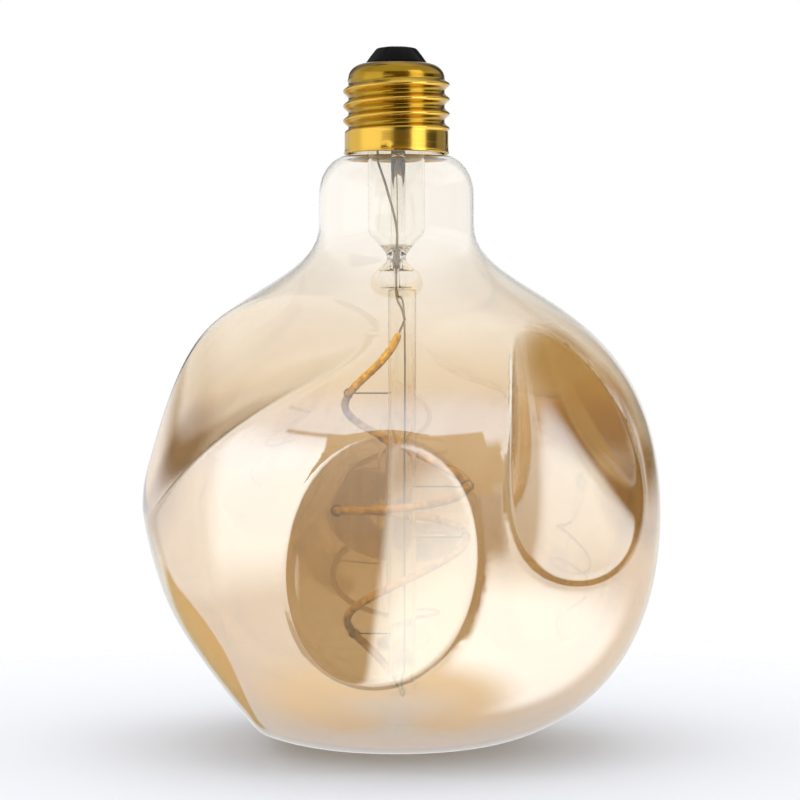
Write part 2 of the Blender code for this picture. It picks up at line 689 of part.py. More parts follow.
def driver():
    """Upright circuit board on the collar's edge, with two rows of parts in front and two parts behind."""
    board_size = (BOARD_WIDTH, BOARD_THICKNESS, BOARD_TOP - BOARD_BOTTOM)
    block("driver_board", board_size, (0.0, 0.0, (BOARD_BOTTOM + BOARD_TOP) / 2), circuit_board, 0.1 * MM)
    face = BOARD_THICKNESS / 2 + CLEARANCE
    left = EDGE_GAP - BOARD_WIDTH / 2
    low = BOARD_BOTTOM + EDGE_GAP
    bridge_at = Vector((left + BRIDGE_WIDTH / 2, -face - BRIDGE_DEPTH / 2, low + BRIDGE_HEIGHT / 2))
    block("bridge_rectifier", (BRIDGE_WIDTH, BRIDGE_DEPTH, BRIDGE_HEIGHT), bridge_at, moulded)
    chip_left = left + BRIDGE_WIDTH + PART_GAP
    chip_at = Vector((chip_left + CHIP_WIDTH / 2, -face - CHIP_DEPTH / 2, low + CHIP_HEIGHT / 2))
    block("driver_chip", (CHIP_WIDTH, CHIP_DEPTH, CHIP_HEIGHT), chip_at, moulded)
    second_row = low + max(BRIDGE_HEIGHT, CHIP_HEIGHT) + PART_GAP
    fuse_at = Vector((left + FUSE_LENGTH / 2, -face - FUSE_RADIUS, second_row + FUSE_RADIUS))
    cylinder("fuse_resistor", FUSE_RADIUS, FUSE_LENGTH, fuse_at, (1, 0, 0), ceramic, 12)
    radio_module(Vector((-left - RADIO_WIDTH / 2, -face - RADIO_THICKNESS / 2, second_row + RADIO_HEIGHT / 2)))
    capacitor_at = Vector((left + CAPACITOR_LENGTH / 2, face + CAPACITOR_RADIUS, low + CAPACITOR_RADIUS))
    cylinder("smoothing_capacitor", CAPACITOR_RADIUS, CAPACITOR_LENGTH, capacitor_at, (1, 0, 0), sleeve)
    choke(Vector((left + CAPACITOR_LENGTH + 2 * PART_GAP + CHOKE_RADIUS, face, low + CHOKE_RADIUS)))
    supply_wires(fuse_at, face, second_row)


def radio_module(centre):
    """Small daughter board with its screening can."""
    size = (RADIO_WIDTH, RADIO_THICKNESS, RADIO_HEIGHT)
    module = block("radio_module", size, centre, circuit_board, 0.1 * MM)
    can_size = (RADIO_WIDTH - 2 * RADIO_CAN_MARGIN, RADIO_CAN_DEPTH, RADIO_HEIGHT - 2 * RADIO_CAN_MARGIN)
    sunk = (RADIO_THICKNESS + RADIO_CAN_DEPTH) / 2 - RADIO_THICKNESS / 8
    can = as_cutter(block("radio_can", can_size, centre - Vector((0.0, sunk, 0.0)), nickel))
    joined = module.modifiers.new("can", "BOOLEAN")
    joined.operation = "UNION"
    joined.object = can


def choke(foot):
    """Drum core with a wound waist, standing on the board's back."""
    outline = [
        (0.0, CHOKE_LENGTH),
        (CHOKE_RADIUS, CHOKE_LENGTH),
        (CHOKE_RADIUS, CHOKE_LENGTH - CHOKE_FLANGE),
        (CHOKE_WAIST_RADIUS, CHOKE_LENGTH - CHOKE_FLANGE),
        (CHOKE_WAIST_RADIUS, CHOKE_FLANGE),
        (CHOKE_RADIUS, CHOKE_FLANGE),
        (CHOKE_RADIUS, 0.0),
        (0.0, 0.0),
    ]
    drum = turned("choke", outline, ferrite, 16, False, foot)
    drum.rotation_euler = (-pi / 2, 0.0, 0.0)


def supply_wires(fuse_at, face, second_row):
    """Live wire from the fuse to the contact, neutral wire from the board to the shell."""
    start = fuse_at + Vector((FUSE_LENGTH / 2 + CLEARANCE, 0.0, 0.0))
    end = Vector((0.0, -face - SUPPLY_WIRE_RADIUS, CONTACT_BOTTOM - CLEARANCE - SUPPLY_WIRE_RADIUS))
    bend = Vector((start.x / 2, start.y, (start.z + end.z) / 2))
    wire("live_wire", smooth_route([start, bend, end], 1 * MM), SUPPLY_WIRE_RADIUS, insulation)
    reach = THREAD_MINOR_RADIUS - SHELL_WALL - CLEARANCE - SUPPLY_WIRE_RADIUS
    start = Vector((BOARD_WIDTH / 2 - 2 * EDGE_GAP, face + SUPPLY_WIRE_RADIUS, second_row + SUPPLY_WIRE_BEND))
    end = Vector((reach * cos(pi / 4), reach * sin(pi / 4), second_row + SUPPLY_WIRE_BEND))
    bend = (start + end) / 2 + Vector((0.0, 0.0, SUPPLY_WIRE_RADIUS))
    wire("neutral_wire", smooth_route([start, bend, end], 1 * MM), SUPPLY_WIRE_RADIUS, insulation)


clear_scene()
parts = make_collection("led_filament_bulb")
cutters = make_collection("cutters")

coated_glass = material("coated amber glass", (0.62, 0.42, 0.2), 0.03, 0.25, 0.9)
clear_glass = material("clear glass", (0.95, 0.95, 0.93), 0.03, 0.0, 1.0)
brass = material("brass", (0.76, 0.5, 0.14), 0.25, 1.0)
black_glass = material("black glass", (0.01, 0.01, 0.01), 0.2)
solder = material("solder", (0.55, 0.55, 0.53), 0.4, 1.0)
cement = material("cement", (0.6, 0.56, 0.48), 0.9)
phosphor = material("phosphor", (0.8, 0.5, 0.06), 0.55)
nickel = material("nickel", (0.5, 0.48, 0.44), 0.35, 1.0)
circuit_board = material("circuit board", (0.02, 0.16, 0.06), 0.5)
moulded = material("moulded epoxy", (0.02, 0.02, 0.022), 0.6)
sleeve = material("shrink sleeve", (0.03, 0.04, 0.09), 0.4)
ceramic = material("ceramic", (0.55, 0.62, 0.68), 0.6)
ferrite = material("ferrite", (0.05, 0.05, 0.055), 0.7)
insulation = material("wire insulation", (0.75, 0.74, 0.7), 0.5)

glass_envelope()
cap_shell()
cap_insulator()
centre_contact()
cap_cement()
stem_flare()
exhaust_tube()
support_tube()
led_filament()
support_hooks()
lead_wires()
driver()
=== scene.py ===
"""Looks of the LED filament bulb with a dented globe, laid out as an add-on and run as a script.

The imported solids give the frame. Each operator makes one piece, or one group of like pieces, at
the size and place of the solid that it stands for, and the last one sets the stage. Lengths are in
metres, angles in degrees, and the bulb faces -Y.
"""

import json
from collections import namedtuple
from contextlib import contextmanager
from math import atan2, ceil, cos, pi, radians, sin, sqrt

import bmesh
import bpy
import numpy as np
from bpy.props import FloatProperty, FloatVectorProperty, PointerProperty
from mathutils import Matrix, Vector

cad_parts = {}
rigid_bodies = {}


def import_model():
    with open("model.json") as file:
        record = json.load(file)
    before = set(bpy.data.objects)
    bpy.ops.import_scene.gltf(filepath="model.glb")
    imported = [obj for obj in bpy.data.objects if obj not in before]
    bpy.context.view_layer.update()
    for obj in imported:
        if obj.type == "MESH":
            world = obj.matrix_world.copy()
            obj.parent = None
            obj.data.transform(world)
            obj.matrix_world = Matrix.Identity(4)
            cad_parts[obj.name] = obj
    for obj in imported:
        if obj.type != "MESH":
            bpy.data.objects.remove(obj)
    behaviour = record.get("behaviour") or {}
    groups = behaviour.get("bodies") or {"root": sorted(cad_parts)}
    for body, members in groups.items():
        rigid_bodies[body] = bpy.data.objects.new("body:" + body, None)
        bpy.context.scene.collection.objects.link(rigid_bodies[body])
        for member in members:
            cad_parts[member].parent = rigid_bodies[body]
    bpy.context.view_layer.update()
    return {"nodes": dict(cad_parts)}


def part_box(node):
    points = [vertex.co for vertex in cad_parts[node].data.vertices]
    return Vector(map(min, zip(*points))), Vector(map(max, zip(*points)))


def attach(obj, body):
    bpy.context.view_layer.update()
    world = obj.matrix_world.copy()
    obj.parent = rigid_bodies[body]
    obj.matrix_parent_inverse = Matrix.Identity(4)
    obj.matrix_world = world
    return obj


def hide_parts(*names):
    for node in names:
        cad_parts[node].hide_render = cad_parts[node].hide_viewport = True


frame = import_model()
MM = 0.001

bl_info = {
    "name": "Dented globe filament bulb",
    "version": (1, 0, 0),
    "blender": (4, 5, 0),
    "location": "View3D > Sidebar > Bulb",
    "description": "Builds the glass, cap, stem, filament and wires of a filament bulb, and its stage",
    "category": "Add Mesh",
}

# The bowls of the solids, the front one 0.8 mm shallower, which sets where its reflections fall.
# Azimuth 0 faces -Y and grows towards +X, rise is the height over the widest ring, tilt is up, and
# roll leans the top to the right. Taper narrows the top.
Dent = namedtuple("Dent", "azimuth rise tilt roll half_width half_height depth taper")
DENTS = {
    "front": Dent(-3, -6 * MM, -9, 10, 21 * MM, 27 * MM, 8.2 * MM, -0.12),
    "right": Dent(43, 23.5 * MM, 14, -4, 19 * MM, 31 * MM, 11 * MM, 0.6),
    "upper_left": Dent(-57.5, 37.5 * MM, 30, 63.5, 25 * MM, 46 * MM, 9 * MM, 0.72),
    "lower_left": Dent(-85.5, -32.5 * MM, -33, 11, 39 * MM, 32 * MM, 6.2 * MM, 0.26),
    "left": Dent(-84.5, 2 * MM, -8, 0, 20 * MM, 25 * MM, 2.1 * MM, 0.0),
    "back_right": Dent(140, -15 * MM, -12, 12, 23 * MM, 27 * MM, 9.5 * MM, 0.1),
    "back_left": Dent(-152, 19 * MM, 14, -30, 19 * MM, 28 * MM, 10 * MM, 0.3),
    "back_top": Dent(146, 41 * MM, 36, 78, 14 * MM, 23 * MM, 8 * MM, 0.2),
}

GLASS_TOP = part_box("glass_envelope")[1].z
CAP_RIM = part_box("cap_shell")[0].z
CAP_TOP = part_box("cap_shell")[1].z
INSULATOR_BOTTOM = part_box("cap_insulator")[0].z
INSULATOR_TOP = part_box("cap_insulator")[1].z
CONTACT_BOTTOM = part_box("centre_contact")[0].z
CONTACT_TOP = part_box("centre_contact")[1].z
STEM_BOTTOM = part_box("stem_flare")[0].z
STEM_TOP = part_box("stem_flare")[1].z
ROD_BOTTOM, ROD_TOP = (corner.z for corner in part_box("support_tube"))
ROD_X = (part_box("support_tube")[0].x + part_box("support_tube")[1].x) / 2
EXHAUST_BOTTOM, EXHAUST_TOP = (corner.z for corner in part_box("exhaust_tube"))

# Spots where the glass is tinted darker, at the lower end of one dent and along the wall of another
DarkSpot = namedtuple("DarkSpot", "centre reach")
DARK_SPOTS = (
    DarkSpot((-57 * MM, -24 * MM, 69 * MM), 24 * MM),
    DarkSpot((40 * MM, -38 * MM, 95 * MM), 15 * MM),
    DarkSpot((48 * MM, -34 * MM, 82 * MM), 17 * MM),
    DarkSpot((57 * MM, -22 * MM, 62 * MM), 17 * MM),
)

# Cards that the reflections show in the white studio, in degrees, how bright each one is and its
# colour. A later card covers an earlier one.
Card = namedtuple("Card", "left right low high soft light colour", defaults=("#FFFFFF",))
CARDS = (
    Card(-181, 181, -91, -42, 24, 1.15, "#FFE8CC"),
    Card(-181, 181, 62, 91, 10, 1.4),
    Card(-181, -126, 4, 62, 14, 0.4),
    Card(126, 181, 4, 62, 14, 0.4),
    Card(-80, 84, 18, 91, 16, 1.15),
    Card(-130, -5, -26, 32, 8, 1.25),
    Card(-92, -8, -22, 31, 14, 1.85),
    Card(26, 142, -68, -10, 18, 2.0),
    Card(60, 114, 16, 32, 5, 1.35),
    Card(-10, 42, -46, 12, 6, 0.06),
    Card(30, 52, -16, 12, 8, 0.2),
    Card(46, 104, -3, 18, 4, 0.02),
    Card(100, 138, -3, 18, 4, 0.4),
    Card(-33, 42, 4, 30, 1.5, 0.32, "#FFDA9E"),
    Card(34, 53, 4, 27, 6, 0.32, "#FFDA9E"),
    Card(-50, -4, -52, -26, 7, 0.3),
    Card(-54, -29, 26.5, 30, 2, 0.1),
    Card(136, 164, -4, 42, 6, 0.05),
    Card(-150, -108, 58, 80, 4, 0.1),
    Card(-170, -146, 3, 30, 6, 0.1),
    Card(-168, -128, -32, -11, 5, 0.7, "#FFDA9E"),
)

# Glass profile, as in the solids: levels of its neck, how far each curve pulls at its ends, and the
# ring round the base's middle. Then its mesh, and how far past its rim a dent's bowl is followed.
NECK_BOTTOM = 127 * MM
NECK_TOP = 134.5 * MM
COLLAR_BOTTOM = 144.2 * MM
NECK_PULL = 19 * MM
UPPER_PULL = 55 * MM
LOWER_PULL = 43 * MM
BASE_PULL = 21 * MM
FOOT_RADIUS = 2 * MM
GLASS_COLUMNS = 186
GLASS_ROWS = 96
DENT_REACH = 1.9
DENT_SHELF = 8 * MM

# Coating of the glass: heights over which its film and its stain fade, how far these heights wander
# and over what distance, and the film's thickness
FILM_FADE = (66 * MM, 108 * MM)
STAIN_FADE = (52 * MM, 126 * MM)
FADE_WANDER = 8 * MM
CLOUD_SIZE = 30 * MM
FILM_NANOMETRES = 52.0

# Cap: turn at which its thread starts, its run-outs, its bent rim and its punch marks
THREAD_PHASE = 70
THREAD_FADE = 1.2 * MM
THREAD_ROWS = 18
CAP_STEPS = 160
RIM_HEIGHT = 0.9 * MM
RIM_BEND = 0.5 * MM
RIM_FLARE = 0.2 * MM
PUNCH_AZIMUTHS = (-10, 80, 170, 260)
PUNCH_DEPTH = 0.28 * MM
PUNCH_RADIUS = 1.3 * MM

# Insulator and contact
SEAT_GAP = 0.3 * MM
CONE_RADIUS = 4.85 * MM
CONE_WAIST = 6.2 * MM
CONE_DROP = 1.7 * MM
RECESS_RADIUS = 3.8 * MM
RECESS_DEPTH = 0.6 * MM
FLANGE_REACH = 1.4 * MM
FLANGE_DROP = 0.9 * MM
SHANK_HOLE = 1.3 * MM
CONTACT_RADIUS = 3.5 * MM
SHANK_RADIUS = 1.0 * MM

# Stem, pump tube and rod
STEM_RADIUS = 7 * MM
STEM_WALL = 0.6 * MM
STEM_RIM = 9.7 * MM
STEM_STEPS = 74
PRESS_FLOOR = 2.3 * MM
PRESS_HALF = 2.4 * MM
BEAD_HALF = 4.15 * MM
BEAD_RADIUS = 6.4 * MM
BEAD_ROUND = 1.4 * MM
LEAD_SIDE = 4.5 * MM
LEAD_RADIUS = 0.3 * MM
LEAD_BORE = 0.55 * MM
PUMP_RADIUS = 1.8 * MM
PUMP_WALL = 0.6 * MM
PUMP_OFFSET = 0.4 * MM
ROD_RADIUS = 3.4 * MM
ROD_WALL = 0.6 * MM
SHARP_ANGLE = 50

# Levels of the stem: the bend of its flare, the top and the throat of its press, and its bead
FLARE_BEND = STEM_TOP - 4.6 * MM
PRESS_TOP = FLARE_BEND - 18.8 * MM
PRESS_THROAT = PRESS_TOP - 8.3 * MM
BEAD_TOP = PRESS_THROAT - 3 * MM

# Filament, tabs and hooks
FILAMENT_START = -100
FILAMENT_EASE = 0.14
FILAMENT_STEPS = 420
TAB_SIZE = (1.6 * MM, 0.4 * MM, 3 * MM)
TAB_GAP = 0.3 * MM
TAB_BEVEL = 0.12 * MM
HOOK_COUNT = 5
HOOK_RADIUS = 0.2 * MM
HOOK_ARC = 300
HOOK_STEPS = 24

# Stage: the floor's reach, the radii over which it fades in, and how many faces of glass light crosses
FLOOR_REACH = 0.5
FLOOR_FADE = (0.26, 0.09)
GLASS_BOUNCES = 32


def length(name, default, text):
    return FloatProperty(
        name=name, description=text, default=default, unit="LENGTH", subtype="DISTANCE", precision=5
    )


def linear(code):
    """Linear RGB of an sRGB hex colour."""
    channels = [int(code[i : i + 2], 16) / 255 for i in (1, 3, 5)]
    return tuple(c / 12.92 if c <= 0.04045 else ((c + 0.055) / 1.055) ** 2.4 for c in channels)


def colour(name, code, text):
    return FloatVectorProperty(
        name=name, description=text, default=linear(code), subtype="COLOR", size=3, min=0.0, max=1.0
    )


class BULB_PG_glass(bpy.types.PropertyGroup):
    globe_radius: length("Globe radius", 64.5 * MM, "Radius of the globe at its widest ring")
    globe_middle: length("Widest ring", 57 * MM, "Height of the widest ring over the base")
    base_flat: length("Base flat", 16 * MM, "Radius of the flat that the bulb stands on")
    neck_radius: length("Neck radius", 19 * MM, "Outer radius of the straight neck")
    collar_radius: length("Collar radius", 10.9 * MM, "Outer radius of the collar inside the cap")
    wall: length("Wall", 0.9 * MM, "Thickness of the blown glass")
    rim_fillet: length("Rim fillet", 1.3 * MM, "How far the rim of a dent is rounded")
    amber: colour("Amber", "#E9CB96", "Tint of one coated wall in passing light")
    clear: colour("Clear", "#FEFBF6", "Tint of the neck, where the coating has faded out")
    spot_tint: colour("Spot tint", "#BD9A61", "Tint at the darker spots, at the end of a dent and along the wall of another")


class BULB_PG_cap(bpy.types.PropertyGroup):
    skirt_radius: length("Skirt radius", 12.7 * MM, "Radius of the plain skirt")
    skirt_height: length("Skirt height", 5 * MM, "Height of the plain skirt")
    crest_radius: length("Crest radius", 13.1 * MM, "Radius over the thread")
    root_radius: length("Root radius", 11.8 * MM, "Radius in the thread's root")
    pitch: length("Pitch", 3.6 * MM, "Height of one turn of the thread")
    shoulder: length("Shoulder", 3.5 * MM, "Height of the rounded shoulder")
    mouth_radius: length("Mouth radius", 7.6 * MM, "Radius of the opening round the insulator")
    sheet: length("Sheet", 0.4 * MM, "Thickness of the rolled sheet")
    brass: colour("Brass", "#C49F42", "Colour of the polished brass")


class BULB_PG_filament(bpy.types.PropertyGroup):
    radius: length("Strip radius", 1 * MM, "Half the width of the filament")
    top: length("Top", STEM_BOTTOM - 10.6 * MM, "Height of its upper end")
    bottom: length("Bottom", ROD_BOTTOM + 0.6 * MM, "Height of its lower end")
    spiral_radius: length("Spiral radius", 16 * MM, "Radius of the spiral's middle turns")
    end_radius: length("End radius", 4.7 * MM, "Radius at which it meets the rod")
    turns: FloatProperty(name="Turns", description="Turns of the spiral", default=2.42)
    crowding: FloatProperty(name="Crowding", description="How close the middle turns are", default=0.88)
    phosphor: colour("Phosphor", "#D6A82E", "Colour of the unlit phosphor")


class BULB_PG_stage(bpy.types.PropertyGroup):
    distance: length("Camera distance", 650 * MM, "From the bulb's axis to the camera")
    height: length("Camera height", 95.7 * MM, "Height of the camera over the floor")
    aim: length("Aim", 84.1 * MM, "Height on the axis at the middle of the picture")
    side: length("Side", 0.86 * MM, "How far right of the axis the middle of the picture is")
    lens: FloatProperty(
        name="Lens", description="Focal length on a 36 mm sensor", default=119.3, subtype="DISTANCE_CAMERA"
    )
    floor: colour("Floor", "#F0F2F8", "Colour of the floor")


def settings(group):
    return getattr(bpy.context.scene, "bulb_" + group)


def add_node(tree, kind, links=(), **values):
    """Adds a node, sets its own values, fills its sockets, in order or by name, with values or other
    sockets, and returns its outputs."""
    made = tree.nodes.new("ShaderNode" + kind)
    for name, value in values.items():
        setattr(made, name, value)
    named = links if isinstance(links, dict) else dict(enumerate(links))
    for name, value in named.items():
        socket = made.inputs[name]
        if isinstance(value, bpy.types.NodeSocket):
            tree.links.new(value, socket)
        else:
            socket.default_value = value
    return made.outputs


def new_material(name, **values):
    """Material with one Principled shader, whose sockets are named with underscores for spaces."""
    made = bpy.data.materials.new(name)
    made.use_nodes = True
    shader = made.node_tree.nodes["Principled BSDF"]
    for socket, value in values.items():
        shader.inputs[socket.replace("_", " ")].default_value = value
    return made, made.node_tree, shader


def feed(tree, shader, **values):
    """Links other nodes' sockets to the shader's sockets, named with underscores for spaces."""
    for socket, value in values.items():
        tree.links.new(value, shader.inputs[socket.replace("_", " ")])


def rgba(colour):
    return (*tuple(colour)[:3], 1.0)


def mottled(name, size, detail, colours, rough=None, relief=None, **values):
    """Material with blotches of a size in metres. They set its colour, and where given its roughness,
    between two values each, and its relief, by a strength and a depth."""
    made, tree, shader = new_material(name, **values)
    place = add_node(tree, "TexCoord")["Object"]
    blotch = add_node(tree, "TexNoise", {"Vector": place, "Scale": 1 / size, "Detail": detail})[0]
    dark, light = (rgba(linear(code)) for code in colours)
    feed(tree, shader, Base_Color=add_node(tree, "Mix", {0: blotch, 6: dark, 7: light}, data_type="RGBA")[2])
    if rough:
        feed(tree, shader, Roughness=add_node(tree, "MapRange", [blotch, 0.0, 1.0, *rough])[0])
    if relief:
        raised = {"Height": blotch, "Strength": relief[0], "Distance": relief[1]}
        feed(tree, shader, Normal=add_node(tree, "Bump", raised)[0])
    return made


def link(obj):
    """Puts an object into the scene, unless it is there."""
    there = bpy.context.scene.collection.objects
    if obj.name not in there:
        there.link(obj)


@contextmanager
def edited(mesh):
    """Mesh as a bmesh, which is written back at the end."""
    shape = bmesh.new()
    shape.from_mesh(mesh)
    yield shape
    shape.to_mesh(mesh)
    shape.free()


def aim(obj, target):
    """Turns a lamp or a camera, which looks straight down until then, towards a place."""
    way = Vector(target) - obj.location
    obj.rotation_euler = way.to_track_quat("-Z", "Y").to_euler()


def finish_piece(obj, material, slot, *replaced):
    """Gives a piece its finish, lets it ride on the bulb and stands it in for CAD nodes."""
    link(obj)
    obj.data.materials.clear()
    obj.data.materials.append(material)
    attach(obj, "root")
    if replaced:
        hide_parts(*replaced)
    return obj


def mesh_piece(name, points, faces):
    mesh = bpy.data.meshes.new(name)
    mesh.from_pydata(points, [], faces)
    mesh.polygons.foreach_set("use_smooth", [True] * len(mesh.polygons))
    mesh.update()
    return bpy.data.objects.new(name, mesh)


def turned_piece(name, outline, steps, closed, centre=(0.0, 0.0), start=0.0):
    """Turns (radius, height) points, running down the outer side, round a vertical axis."""
    rings = []
    points = []
    for radius, height in outline:
        if radius < 1e-7:
            rings.append([len(points)] * steps)
            points.append((centre[0], centre[1], height))
            continue
        rings.append(list(range(len(points), len(points) + steps)))
        for step in range(steps):
            angle = start + 2 * pi * step / steps
            points.append((centre[0] + radius * cos(angle), centre[1] + radius * sin(angle), height))
    faces = []
    pairs = list(zip(rings, rings[1:]))
    if closed:
        pairs.append((rings[-1], rings[0]))
    for upper, lower in pairs:
        for step in range(steps):
            after = (step + 1) % steps
            corners = [upper[step], lower[step], lower[after], upper[after]]
            face = list(dict.fromkeys(corners))
            if len(face) > 2:
                faces.append(face)
    return mesh_piece(name, points, faces)


def rounded(outline, radius, closed=False, steps=4):
    """Rounds every corner of an outline by a curve that starts radius away, or less on a short side."""
    count = len(outline)
    result = []
    for i, corner in enumerate(outline):
        if not closed and i in (0, count - 1):
            result.append(corner)
            continue
        here = Vector(corner)
        before, after = Vector(outline[i - 1]), Vector(outline[(i + 1) % count])
        start = here + (before - here).normalized() * min(radius, (before - here).length * 0.45)
        end = here + (after - here).normalized() * min(radius, (after - here).length * 0.45)
        for k in range(steps + 1):
            t = k / steps
            spot = start * (1 - t) ** 2 + here * (2 * t * (1 - t)) + end * t * t
            result.append((spot.x, spot.y))
    return result


def sharpen(obj, angle):
    """Keeps edges over an angle sharp in the shading."""
    with edited(obj.data) as shape:
        for edge in shape.edges:
            edge.smooth = len(edge.link_faces) == 2 and edge.calc_face_angle() < radians(angle)


def ease(x):
    x = min(max(x, 0.0), 1.0)
    return x * x * (3 - 2 * x)


def bezier(start, start_pull, end_pull, end, count):
    t = np.linspace(0, 1, count)[:, None]
    corners = [np.array(corner) for corner in (start, start_pull, end_pull, end)]
    weights = ((1 - t) ** 3, 3 * t * (1 - t) ** 2, 3 * t * t * (1 - t), t**3)
    return sum(w * c for w, c in zip(weights, corners))


def glass_profile(rows):
    """Outer side from the collar's top to the base in evenly spaced (radius, height) points."""
    glass = settings("glass")
    turn = np.linspace(pi / 2, 0, 40)
    reach = glass.neck_radius - glass.collar_radius
    across = glass.collar_radius + reach * np.cos(turn)
    shoulder = np.stack((across, NECK_TOP + (COLLAR_BOTTOM - NECK_TOP) * np.sin(turn)), 1)
    neck = (glass.neck_radius, NECK_BOTTOM)
    belly = (glass.globe_radius, glass.globe_middle)
    base = (glass.base_flat, 0.0)
    upper = bezier(neck, (neck[0], neck[1] - NECK_PULL), (belly[0], belly[1] + UPPER_PULL), belly, 300)
    lower = bezier(belly, (belly[0], belly[1] - LOWER_PULL), (base[0] + BASE_PULL, 0.0), base, 300)
    collar, foot = [(glass.collar_radius, GLASS_TOP)], [(FOOT_RADIUS, 0.0)]
    path = np.concatenate((collar, shoulder, upper, lower[1:], foot))
    run = np.concatenate(([0.0], np.cumsum(np.hypot(*np.diff(path, axis=0).T))))
    even = np.linspace(0, run[-1], rows)
    return np.stack((np.interp(even, run, path[:, 0]), np.interp(even, run, path[:, 1])), 1)


def dent_space(dent):
    """Rows of the dent's own axes, across, along and out of the glass, and the middle of its rim."""
    glass = settings("glass")
    azimuth, tilt, roll = radians(dent.azimuth), radians(dent.tilt), radians(dent.roll)
    out = np.array((cos(tilt) * sin(azimuth), -cos(tilt) * cos(azimuth), sin(tilt)))
    level = np.array((cos(azimuth), sin(azimuth), 0.0))
    rise = np.cross(out, level)
    axes = np.array((level * cos(roll) - rise * sin(roll), level * sin(roll) + rise * cos(roll), out))
    height = glass.globe_middle + dent.rise
    profile = glass_profile(600)[::-1]
    radius = np.interp(height, profile[:, 1], profile[:, 0])
    return axes, np.array((radius * sin(azimuth), -radius * cos(azimuth), height))


def bowl_depth(points, dent):
    """How far each point stands over the dent's bowl, and the way out of it. Far points get -1."""
    globe = settings("glass").globe_radius
    axes, middle = dent_space(dent)
    across, along, out = axes @ (points - middle).T
    width_bend, height_bend = (
        (dent.depth - globe + sqrt(globe**2 - half**2)) / half**2
        for half in (dent.half_width, dent.half_height)
    )
    narrowed = across * (1 + dent.taper * along / dent.half_height)
    over = out - (width_bend * narrowed**2 + height_bend * along**2 - dent.depth)
    inside = np.hypot(across / dent.half_width, along / dent.half_height) < DENT_REACH
    inside &= out > -2.5 * dent.depth - DENT_SHELF
    return np.where(inside, over, -1.0), axes[2]


def press(points, fillet, wall=0.0):
    """Moves points down into every dent, with a rounded rim, as far as its bowl or a wall below it."""
    for dent in DENTS.values():
        over, out = bowl_depth(points, dent)
        over = over + wall
        blend = np.clip(0.5 + 0.5 * over / fillet, 0, 1)
        drop = over * blend + fillet * blend * (1 - blend)
        drop = np.where(over > fillet, over, np.where(over < -fillet, 0.0, drop))
        points = points - drop[:, None] * out
    return points


class BULB_OT_glass(bpy.types.Operator):
    """Blows the globe, presses its dents and coats it"""

    bl_idname = "bulb.glass"
    bl_label = "Glass envelope"

    def execute(self, context):
        glass = settings("glass")
        profile = [*glass_profile(GLASS_ROWS).tolist(), (0.0, 0.0)]
        obj = turned_piece("glass_globe", profile, GLASS_COLUMNS, False, start=-pi / 2)
        self.refine(obj.data, glass.rim_fillet)
        self.hollow(obj.data)
        finish_piece(obj, self.material(), "coated_glass", "glass_envelope")
        return {"FINISHED"}

    def hollow(self, mesh):
        """Presses the outer side, and under it an inner side that follows it without a fold at the rims."""
        glass = settings("glass")
        blown = np.array([vert.co for vert in mesh.vertices])
        normals = np.array([vert.normal for vert in mesh.vertices])
        inner = press(blown - glass.wall * normals, glass.rim_fillet, glass.wall)
        outer = press(blown, glass.rim_fillet)
        with edited(mesh) as shape:
            copy = bmesh.ops.duplicate(shape, geom=[*shape.verts, *shape.edges, *shape.faces])["geom"]
            turned = [item for item in copy if isinstance(item, bmesh.types.BMFace)]
            bmesh.ops.reverse_faces(shape, faces=turned)
            shape.verts.ensure_lookup_table()
            for vert, place in zip(shape.verts, np.concatenate((outer, inner))):
                vert.co = place
            rims = [edge for edge in shape.edges if edge.is_boundary]
            bmesh.ops.bridge_loops(shape, edges=rims)
            for face in shape.faces:
                face.smooth = True

    def refine(self, mesh, fillet):
        """Cuts the faces along the rims finer, because a rim is far more curved than the globe."""
        with edited(mesh) as shape:
            # Each round reaches this many half fillets to both sides of a rim.
            for reach in (5.0, 3.0):
                points = np.array([vert.co for vert in shape.verts])
                near = np.zeros(len(points), bool)
                for dent in DENTS.values():
                    over, _ = bowl_depth(points, dent)
                    near |= abs(over) < reach * fillet / 2
                shape.verts.index_update()
                edges = [edge for edge in shape.edges if all(near[vert.index] for vert in edge.verts)]
                bmesh.ops.subdivide_edges(shape, edges=edges, cuts=1, use_grid_fill=True)
                wide = [face for face in shape.faces if len(face.verts) > 4]
                bmesh.ops.triangulate(shape, faces=wide)

    def material(self):
        """Blown soda glass with a vapour-coated half mirror: amber in passing light and white in reflected
        light. Its tint is darker at a few spots, and the coating fades out up the neck."""
        glass = settings("glass")
        made, tree, shader = new_material(
            "half-mirror coated glass", Roughness=0.015, IOR=1.5, Transmission_Weight=1.0, Thin_Film_IOR=2.5
        )
        place = add_node(tree, "TexCoord")["Object"]
        height = add_node(tree, "SeparateXYZ", [place])["Z"]
        cloud = add_node(tree, "TexNoise", {"Vector": place, "Scale": 1 / CLOUD_SIZE, "Detail": 2.0})[0]
        wander = add_node(tree, "Math", [cloud, FADE_WANDER, height], operation="MULTIPLY_ADD")[0]
        stain = add_node(tree, "MapRange", [wander, *STAIN_FADE, 1.0, 0.0])[0]
        colours = {0: stain, 6: rgba(glass.clear), 7: rgba(glass.amber)}
        tint = add_node(tree, "Mix", colours, data_type="RGBA")[2]
        # Darker tint mixed in round each spot
        for dark_spot in DARK_SPOTS:
            away = add_node(tree, "VectorMath", [place, dark_spot.centre], operation="DISTANCE")["Value"]
            fade = [away, dark_spot.reach, dark_spot.reach / 2]
            share = add_node(tree, "MapRange", fade, interpolation_type="SMOOTHSTEP")[0]
            tint = add_node(tree, "Mix", {0: share, 6: tint, 7: rgba(glass.spot_tint)}, data_type="RGBA")[2]
        fade = [wander, *FILM_FADE, 1.0, 0.0]
        coat = add_node(tree, "MapRange", fade, interpolation_type="SMOOTHSTEP")[0]
        film = add_node(tree, "Math", [coat, FILM_NANOMETRES], operation="MULTIPLY")[0]
        feed(tree, shader, Base_Color=tint, Thin_Film_Thickness=film)
        return made


